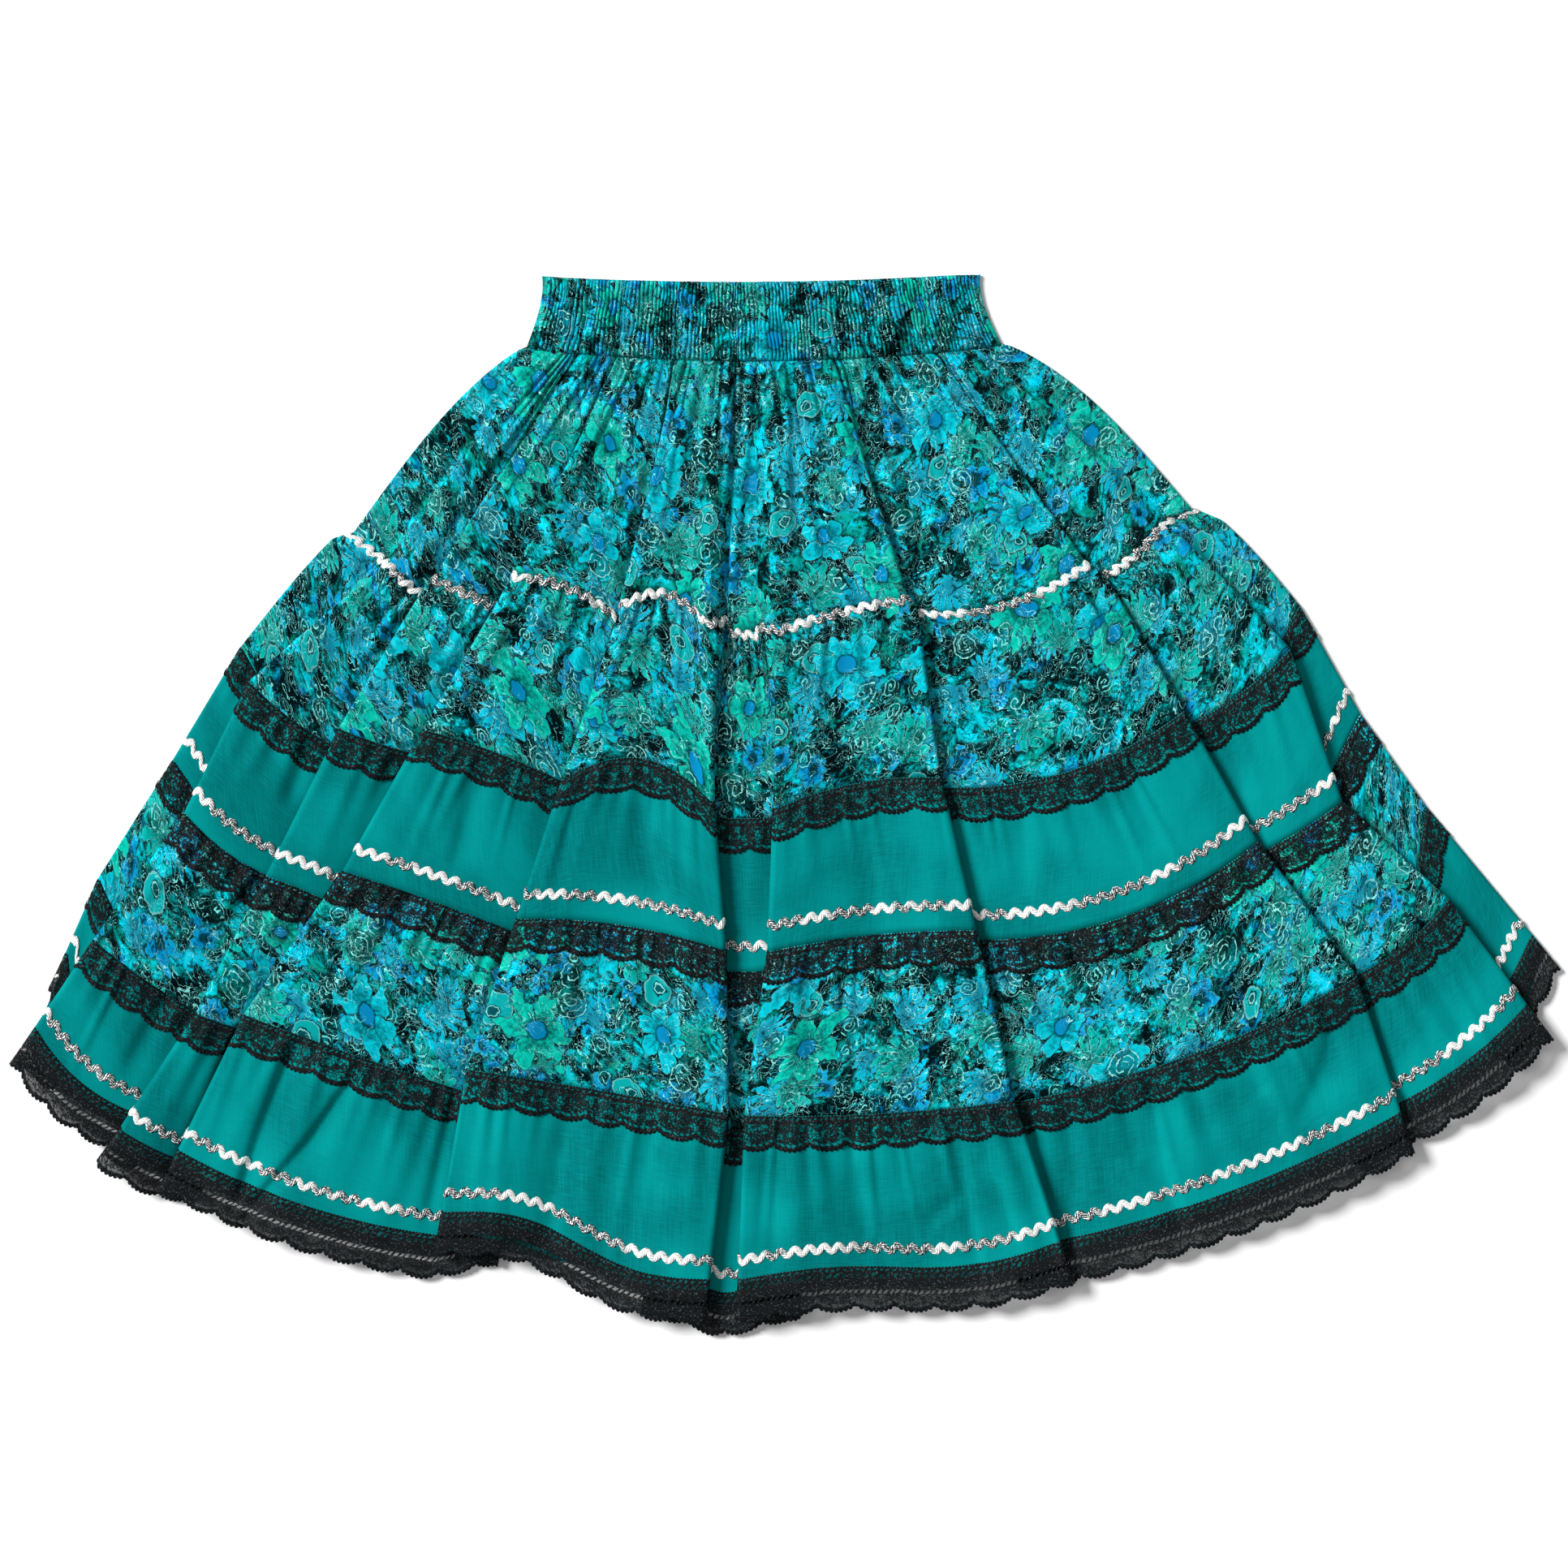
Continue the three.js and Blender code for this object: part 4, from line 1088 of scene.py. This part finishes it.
def make_printed_cotton():
    """Printed cotton lawn: a plain weave with a matt, slightly fuzzy face and the colours soaked in."""
    material, tree, shader, place = start_material("printed cotton lawn")
    uneven = {"Vector": place, "Scale": 1 / 15, "Detail": 4.0, "Roughness": 0.62}
    wobble = add(tree, "TexNoise", uneven, out=1)
    wobble = add(tree, "VectorMath", {0: wobble, 1: (0.5, 0.5, 0.5)}, **MINUS)
    wobble = add(tree, "VectorMath", {0: wobble, "Scale": WANDER}, operation="SCALE")
    drawn = add(tree, "VectorMath", {0: place, 1: wobble}, operation="ADD")
    colour, light = paint_ground(tree, place)
    on_dark = (light, *DARK_GROUND)
    colour = paint_curls(tree, place, colour, 11, 9, 0.16, "#021214", 0.9)
    colour = paint_leaves(tree, drawn, colour, 46, 24, 9, ("#037C98", "#04B0CC", "#48B8C0"), 90, 0.7)
    colour = paint_daisies(tree, drawn, colour, 46, 13, 5,
                           ("#0468A0", "#049CCC", "#033C44", "#38A8B4"), 310, 0.5)
    colour = paint_leaves(tree, drawn, colour, 55, 25, 7, ("#03786E", "#04ACA2", "#54C0B8"), 520, 0.6)
    colour = paint_wet(tree, place, colour)
    colour = paint_curls(tree, drawn, colour, 15, 6, 0.055, "#7CE0DC", on_dark)
    colour = paint_scrolls(tree, drawn, colour, 21, 6, 3.0, 0.6, "#70D8D4", 40, 0.35)
    colour = paint_seeds(tree, drawn, colour, 76, 11, ("#06989A", "#6CC0BE"), 640, 0.4)
    colour = paint_daisies(tree, drawn, colour, 92, 28, 6,
                           ("#035C68", "#04BCCC", "#0480B0", "#38A8B0"), 910, 0.4)
    colour = paint_daisies(tree, drawn, colour, 98, 28, 6,
                           ("#044E4C", "#06BCA8", "#0480B0", "#38ACA0"), 130, 0.5)
    colour = paint_scrolls(tree, drawn, colour, 41, 10, 4.2, 0.7, "#88DCD8", 770, 0.35)
    colour = paint_curls(tree, drawn, colour, 24, 7, 0.04, "#8CE4E0", 0.9)
    tree.links.new(colour, shader.inputs["Base Color"])
    shader.inputs["Roughness"].default_value = 0.85
    shader.inputs["Specular IOR Level"].default_value = 0.02
    return material


printed_cotton = make_printed_cotton()
print("the print has", len(printed_cotton.node_tree.nodes), "nodes")

# %% [markdown]
# ## The plain cotton
# The teal tiers are a plain-woven poly-cotton. Its threads are about 0.3 mm apart, too fine to show
# from here, so what the eye gets is a slight streakiness where single yarns are thicker. It is
# drawn as two sets of long thin streaks, one for the warp and one for the weft, with a small bump.
# Over them go a few broad, soft patches of painted light and shade, where the teal is painted
# lighter at random.

# %% Plain cotton
def thread_streaks(tree, place, thread, length, turned):
    """Slubby yarns: noise drawn out to length millimetres one way and thread millimetres the other."""
    scale = (1 / length, 1 / thread, 1) if turned else (1 / thread, 1 / length, 1)
    drawn_out = add(tree, "VectorMath", {0: place, 1: scale}, operation="MULTIPLY")
    return add(tree, "TexNoise", {"Vector": drawn_out, "Scale": 1.0, "Detail": 3.0, "Roughness": 0.65})


def make_plain_cotton():
    """Plain dyed poly-cotton: matt, with yarns that show as faint streaks, drawn 3 times too coarse."""
    material, tree, shader, place = start_material("teal poly-cotton")
    warp = thread_streaks(tree, place, 1.0, 26, False)
    weft = thread_streaks(tree, place, 1.0, 14, True)
    woven = add(tree, "Math", [warp, weft], operation="ADD")
    # painted light and shade: broad random patches, about 90 mm across, where the teal is painted lighter
    painted_light_and_shade = add(tree, "TexNoise", {"Vector": place, "Scale": 1 / 90, "Detail": 2.0})
    colour = paint(tree, "#006464", "#007C7D", (woven, 0.7, 1.3))
    colour = paint(tree, colour, "#009897", (painted_light_and_shade, 0.38, 0.64), 0.55)
    tree.links.new(colour, shader.inputs["Base Color"])
    bump = add(tree, "Bump", {"Height": woven, "Strength": 0.25, "Distance": 0.25 * MM})
    tree.links.new(bump, shader.inputs["Normal"])
    shader.inputs["Roughness"].default_value = 0.75
    shader.inputs["Specular IOR Level"].default_value = 0.02
    return material


plain_cotton = make_plain_cotton()
print(plain_cotton.name, "has", len(plain_cotton.node_tree.nodes), "nodes")

# %% [markdown]
# ## Black net lace
# Machine lace is a net of fine thread with thicker yarn run through it for the pattern. From a step
# away it is nearly solid black with a picot edge, two rows of small slits and specks of whatever
# lies under it. So its material is black thread with real holes: the shader's alpha is 0 wherever
# there is no thread, and the cloth shows there.

# %% Lace bands
def picots(tree, along, pitch, size):
    """The depth of a row of small round loops: 0 at the tips and size between them."""
    wave = add(tree, "Math", [add(tree, "Math", [along, math.pi / pitch], **TIMES)], operation="SINE")
    wave = add(tree, "Math", [wave], operation="ABSOLUTE")
    return add(tree, "Math", [wave, -size, size], **TIMES_PLUS)


def slits(tree, place, along, row, low, high, pitch, share):
    """A row of slanted slits, pitch apart, from low to high millimetres down. share is how open it is."""
    slant = add(tree, "Math", [row, 0.8, along], **TIMES_PLUS)
    wave = add(tree, "Math", [add(tree, "Math", [slant, 2 * math.pi / pitch], **TIMES)], operation="COSINE")
    uneven = add(tree, "TexNoise", {"Vector": place, "Scale": 1 / 5, "Detail": 1.0})
    wave = add(tree, "Math", [uneven, 1.6, wave], **TIMES_PLUS)
    ends = ((row, low - 0.3, low + 0.3), (row, high + 0.3, high - 0.3))
    return stencil(tree, *ends, (wave, 1.1 - share, 1.4 - share))


def net_holes(tree, place, mesh, open_share):
    """The holes of an uneven net, mesh millimetres across."""
    edge = add(tree, "TexVoronoi", {"Vector": place, "Scale": 1 / mesh, "Randomness": 0.8},
               voronoi_dimensions="2D", feature="DISTANCE_TO_EDGE")
    wide = 0.5 - 0.5 * open_share
    return stencil(tree, (edge, 0.55 * wide, wide))


def scallop_edge(tree, along, row, width):
    """How many millimetres are left from each point down to the scalloped edge."""
    lobe = add(tree, "Math", [along, math.pi / SCALLOP_PITCH], **TIMES)
    lobe = add(tree, "Math", [lobe], operation="SINE")
    lobe = add(tree, "Math", [lobe], operation="ABSOLUTE")
    lobe = add(tree, "Math", [lobe, ROUNDNESS], operation="POWER")
    reach = add(tree, "Math", [lobe, SCALLOP_DEPTH, width - SCALLOP_DEPTH], **TIMES_PLUS)
    return add(tree, "Math", [reach, row], **MINUS)


# %% Lace as thread and holes
# how widely the net is pulled out of shape, in millimetres
PULLED = 3.2


def make_lace(name, width, header, clear):
    """Black lace. header is the depth of its open ladder in millimetres, clear how open its net is."""
    material, tree, shader, even = start_material(name)
    pull = add(tree, "TexNoise", {"Vector": even, "Scale": 1 / 6, "Detail": 2.0}, out=1)
    pull = add(tree, "VectorMath", {0: pull, 1: (0.5, 0.5, 0.5)}, **MINUS)
    pull = add(tree, "VectorMath", {0: pull, "Scale": PULLED}, operation="SCALE")
    place = add(tree, "VectorMath", {0: even, 1: pull}, operation="ADD")
    along, row, _ = add(tree, "SeparateXYZ", [place], out=None).outputs
    left = scallop_edge(tree, along, row, width)
    even_along, even_row, _ = add(tree, "SeparateXYZ", [even], out=None).outputs
    even_left = scallop_edge(tree, even_along, even_row, width)
    motif = add(tree, "TexNoise", {"Vector": place, "Scale": 1 / 5.5, "Detail": 2.0, "Distortion": 1.2})
    fine = add(tree, "Math", [net_holes(tree, place, 1.9, 0.62), 0.6], **TIMES)
    coarse = net_holes(tree, place, 2.2, 0.84)
    # fine net and coarse net take turns in patches, like the sprigs of a woven pattern
    body = add(tree, "Mix", {0: stencil(tree, (motif, 0.41, 0.51)), 2: coarse, 3: fine})
    body = stencil(tree, body, (row, header + 4.6, header + 5.2), clear)
    upper = slits(tree, place, along, row, 1.7, 3.4, 4.4, 0.45)
    lower = slits(tree, place, along, left, 4.1, 6.0, 4.2, 0.7)
    rows = [body, add(tree, "Math", [upper, 0.8], **TIMES), add(tree, "Math", [lower, clear], **TIMES)]
    if header:
        ladder = slits(tree, place, along, row, 4.8, header + 1.0, 5.2, 0.6)
        rows.append(add(tree, "Math", [ladder, 0.6], **TIMES))
        rows.append(slits(tree, place, along, row, width / 2, width / 2 + 2.6, 4.1, 0.7))
    holes = 0.0
    for part in rows:
        holes = add(tree, "Math", [holes, part], operation="MAXIMUM")
    # cords of solid thread: along the top, above the net and round the scallops
    for value, low, high in ((row, -1.0, 1.4), (row, header + 4.4, header + 5.6), (left, -1.5, 3.7)):
        solid = stencil(tree, (value, low - 0.25, low + 0.25), (value, high + 0.25, high - 0.25))
        holes = add(tree, "Math", [holes, add(tree, "Math", [1.0, solid], **MINUS)], **TIMES)
    thread = add(tree, "Math", [1.0, holes], **MINUS)
    from_top = add(tree, "Math", [even_row, picots(tree, even_along, 2.4, 0.9)], **MINUS)
    from_edge = add(tree, "Math", [even_left, picots(tree, even_along, 3.4, 1.3)], **MINUS)
    alpha = stencil(tree, thread, (from_top, -0.1, 0.2), (from_edge, -0.1, 0.2))
    glint = add(tree, "TexNoise", {"Vector": place, "Scale": 1 / 1.4, "Detail": 2.0})
    colour = paint(tree, "#0C0F11", "#46545A", (glint, 0.57, 0.68), 0.7)
    tree.links.new(colour, shader.inputs["Base Color"])
    tree.links.new(alpha, shader.inputs["Alpha"])
    bump = add(tree, "Bump", {"Height": thread, "Strength": 0.5, "Distance": 0.3 * MM})
    tree.links.new(bump, shader.inputs["Normal"])
    shader.inputs["Roughness"].default_value = 0.7
    shader.inputs["Specular IOR Level"].default_value = 0.1
    return material


# at the hem the lace of the back lies under that of the front and shuts most of its holes
seam_lace = make_lace("black net lace, 26 mm", LACE_WIDTH, 0, 1.0)
hem_lace = make_lace("black net lace, 33 mm", HEM_LACE_WIDTH, 7, 0.4)
for made in (seam_lace, hem_lace):
    print(made.name, "has", len(made.node_tree.nodes), "nodes")

# %% [markdown]
# ## Silver rickrack
# The braid is woven from lurex, a flat polyester strip with an aluminium coating. Each strip
# mirrors the light, so the real braid flashes white where it faces a lamp and shows grey with dark
# specks between where it doesn't. Here these are painted into its colour: long stretches along the
# braid, picked by a noise, are painted near white as painted reflections, and between them it is
# painted grey with dark specks as painted shade, with fine painted white glints.

# %% Silver lurex
def make_silver_braid():
    """Lurex braid: half metal, half clear plastic, in slanting strands about a millimetre wide, with
    painted reflections and painted shade in its colour.
    """
    material, tree, shader, place = start_material("silver lurex braid")
    along, across, _ = add(tree, "SeparateXYZ", [place], out=None).outputs
    slant = add(tree, "Math", [across, 0.9, along], **TIMES_PLUS)
    strand = add(tree, "Math", [add(tree, "Math", [slant, 2 * math.pi / 1.6], **TIMES)], operation="SINE")
    # painted reflections: a noise along the braid picks long stretches that are painted near white
    stretch = add(tree, "Math", [along, 1 / 52], **TIMES)
    painted_reflection_stretches = add(tree, "TexNoise", {"W": stretch, "Scale": 1.0, "Detail": 1.5}, noise_dimensions="1D")
    specks = add(tree, "TexNoise", {"Vector": place, "Scale": 1 / 1.3, "Detail": 2.0, "Roughness": 0.7})
    level = add(tree, "Math", [strand, 0.08, specks], **TIMES_PLUS)
    # between them, painted shade: grey with dark specks, and fine painted white glints where the specks are
    # highest
    painted_dim_colour = paint(tree, "#1C2222", "#A8ACAA", (level, 0.46, 0.54))
    painted_dim_colour = paint(tree, painted_dim_colour, "#FFFFFF", (level, 0.55, 0.62))
    # the stretches of painted reflection: near white with a few grey specks
    bright = paint(tree, "#A8AAA6", "#FFFFFC", (level, 0.36, 0.44))
    colour = paint(tree, painted_dim_colour, bright, (painted_reflection_stretches, 0.48, 0.54))
    tree.links.new(colour, shader.inputs["Base Color"])
    bump = add(tree, "Bump", {"Height": strand, "Strength": 0.6, "Distance": 0.3 * MM})
    tree.links.new(bump, shader.inputs["Normal"])
    shader.inputs["Metallic"].default_value = 0.35
    shader.inputs["Roughness"].default_value = 0.4
    return material


silver_braid = make_silver_braid()
print(silver_braid.name, "has", len(silver_braid.node_tree.nodes), "nodes")

# %% [markdown]
# ## Stitches on the elastic
# Each row of machine stitches that holds the elastic is a line of short threads, pulled tight into
# the ribs. They are too small to matter from a step away, but close up a waist without them looks
# glued. Each stitch is a small closed bar that follows the cloth, and all of them are one mesh.

# %% Waist stitches
# sizes in millimetres, the rows that are sewn, and the corners and faces of one stitch
STITCH_PITCH = 3.2
STITCH_LENGTH = 2.3
STITCH_WIDTH = 0.5
STITCH_RISE = 0.35
SEWN_ROWS = STITCH_ROWS[1:4]
BAR = ((0, 0, 0), (1, 0, 0), (1, 1, 0), (0, 1, 0), (0, 0, 1), (1, 0, 1), (1, 1, 1), (0, 1, 1))
BAR_FACES = ((3, 2, 1, 0), (4, 5, 6, 7), (0, 1, 5, 4), (1, 2, 6, 5), (2, 3, 7, 6), (3, 0, 4, 7))


def sew_rows(name, made, shares):
    """Rows of stitches across the front of a tier, at shares of the way down it."""
    tall = float(made["down"][-1].mean())
    bars = []
    for share in shares:
        columns, stations = front_run(made, share * tall, STITCH_PITCH)
        for corner in BAR:
            along = np.interp(stations + corner[0] * STITCH_LENGTH, stations, columns)
            point, normal = on_cloth(made, along, share * tall + corner[1] * STITCH_WIDTH)
            bars.append(point + normal * (WAIST_CLOTH / 2 + STITCH_RISE * (corner[2] - 0.5)))
    starts = range(0, len(bars), len(BAR))
    rows = [np.stack(bars[i:i + len(BAR)], 1)[:-1].reshape(-1, 3) for i in starts]
    vertices = np.concatenate(rows)
    first = np.arange(0, len(vertices), len(BAR))[:, None, None]
    faces = (first + np.array(BAR_FACES)[None]).reshape(-1, 4)
    return finish_mesh(name, vertices, faces, vertices[faces][:, :, :2])


stitches = sew_rows("waist_stitches", cloth["waistband"], SEWN_ROWS)
thread = bpy.data.materials.new("polyester thread")
thread.use_nodes = True
thread_shader = thread.node_tree.nodes["Principled BSDF"]
twist = add(thread.node_tree, "TexNoise", {"Scale": 1 / (0.3 * MM), "Detail": 1.0})
thread_colour = paint(thread.node_tree, "#03262A", "#06484C", twist)
thread.node_tree.links.new(thread_colour, thread_shader.inputs["Base Color"])
thread_shader.inputs["Roughness"].default_value = 0.5
stitches.data.materials.append(thread)
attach(stitches, "root")
print(len(stitches.data.polygons) // len(BAR_FACES), "stitches")

# %% [markdown]
# ## Hand every piece over
# Each piece takes its finish, rides on the one body of the skirt and stands for its plain solid.
# Everything here is sheet cloth, so the flat size that each tier and lace was cut to before it was
# gathered is printed too. Rickrack is a narrow woven braid and isn't a sheet.

# %% Finishes and slots
FINISHES = (
    (printed_cotton, "printed_cotton", ("waistband", "tier_1", "tier_2", "tier_4")),
    (plain_cotton, "plain_cotton", ("tier_3", "tier_5")),
    (silver_braid, "silver_rickrack", ("rickrack_1", "rickrack_2", "rickrack_3")),
    (seam_lace, "black_lace", ("lace_1", "lace_2", "lace_3")),
    (hem_lace, "black_lace", ("lace_4",)),
)
dressed = {**pieces, **trims}
for finish, slot, nodes in FINISHES:
    for node in nodes:
        piece = dressed[node]
        piece.data.materials.append(finish)
        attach(piece, "root")
        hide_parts(node)
print(len(dressed), "pieces handed over")

# %% Flat sizes of the cloth
for node, piece in pieces.items():
    flat = (float(cloth[node]["cut"][-1]) * MM, float(cloth[node]["down"][-1].mean()) * MM)
    print(node, "was cut", [round(side / MM) for side in flat], "mm")
for node, flat in lace_flat.items():
    flat = tuple(side * MM for side in flat)
    print(node, "was cut", [round(side / MM) for side in flat], "mm")

# %% [markdown]
# ## Camera
# The skirt is seen from straight above. The camera stands 3.5 m up with a long lens, so that the
# near folds aren't larger than the rest, and its frame is as wide on the cloth as the whole picture
# is there.

# %% Camera
# a pixel of the picture in millimetres, the picture's width, and its middle on the table
PIXEL = 0.574
FRAME_WIDTH = 1932 * PIXEL * MM
FRAME_MIDDLE = np.array([-0.3, 17.2, 0])
CAMERA_HEIGHT = 3.5
CLOTH_HEIGHT = 0.012
AIM = (FRAME_MIDDLE - OUTLINE_MIDDLE) * MM
camera_data = bpy.data.cameras.new("camera")
camera = bpy.data.objects.new("camera", camera_data)
camera.location = (AIM[0], AIM[1], CAMERA_HEIGHT)
camera_data.lens = camera_data.sensor_width * (CAMERA_HEIGHT - CLOTH_HEIGHT) / FRAME_WIDTH
camera_data.clip_end = 20
bpy.context.scene.collection.objects.link(camera)
bpy.context.scene.camera = camera
print("lens:", round(camera_data.lens), "mm")

# %% [markdown]
# ## Floor and light
# The floor is plain white. A wide soft sun from the upper left gives the folds their bright and
# dark sides, and the white surroundings fill the shadows. An area lamp would do too, but a sun
# lights the whole floor evenly. The view transform is Standard, so that colours come out as they
# are written.

# %% Floor
FLOOR_SIZE = 12.0
half = FLOOR_SIZE / 2
floor_mesh = bpy.data.meshes.new("floor")
corners = [(-half, -half, 0), (half, -half, 0), (half, half, 0), (-half, half, 0)]
floor_mesh.from_pydata(corners, [], [(0, 1, 2, 3)])
floor = bpy.data.objects.new("floor", floor_mesh)
bpy.context.scene.collection.objects.link(floor)
paper = bpy.data.materials.new("white paper")
paper.use_nodes = True
paper_shader = paper.node_tree.nodes["Principled BSDF"]
paper_shader.inputs["Base Color"].default_value = (0.92, 0.92, 0.92, 1)
paper_shader.inputs["Roughness"].default_value = 0.9
floor_mesh.materials.append(paper)

# %% Light
SURROUNDINGS = 0.38
SUN_STRENGTH = 4.4
SUN_WIDTH = math.radians(22)
SUN_FROM = Vector((-1.7, 0.9, 1.6))
world = bpy.data.worlds.new("white surroundings")
world.use_nodes = True
background = world.node_tree.nodes["Background"]
background.inputs["Color"].default_value = (1, 1, 1, 1)
background.inputs["Strength"].default_value = SURROUNDINGS
bpy.context.scene.world = world
sun = bpy.data.lights.new("soft sun", "SUN")
sun.energy = SUN_STRENGTH
sun.angle = SUN_WIDTH
holder = bpy.data.objects.new("soft sun", sun)
holder.location = SUN_FROM
holder.rotation_euler = (-SUN_FROM).to_track_quat("-Z", "Y").to_euler()
bpy.context.scene.collection.objects.link(holder)
bpy.context.scene.view_settings.view_transform = "Standard"
print("sun:", SUN_STRENGTH, "over", round(math.degrees(SUN_WIDTH)), "degrees")
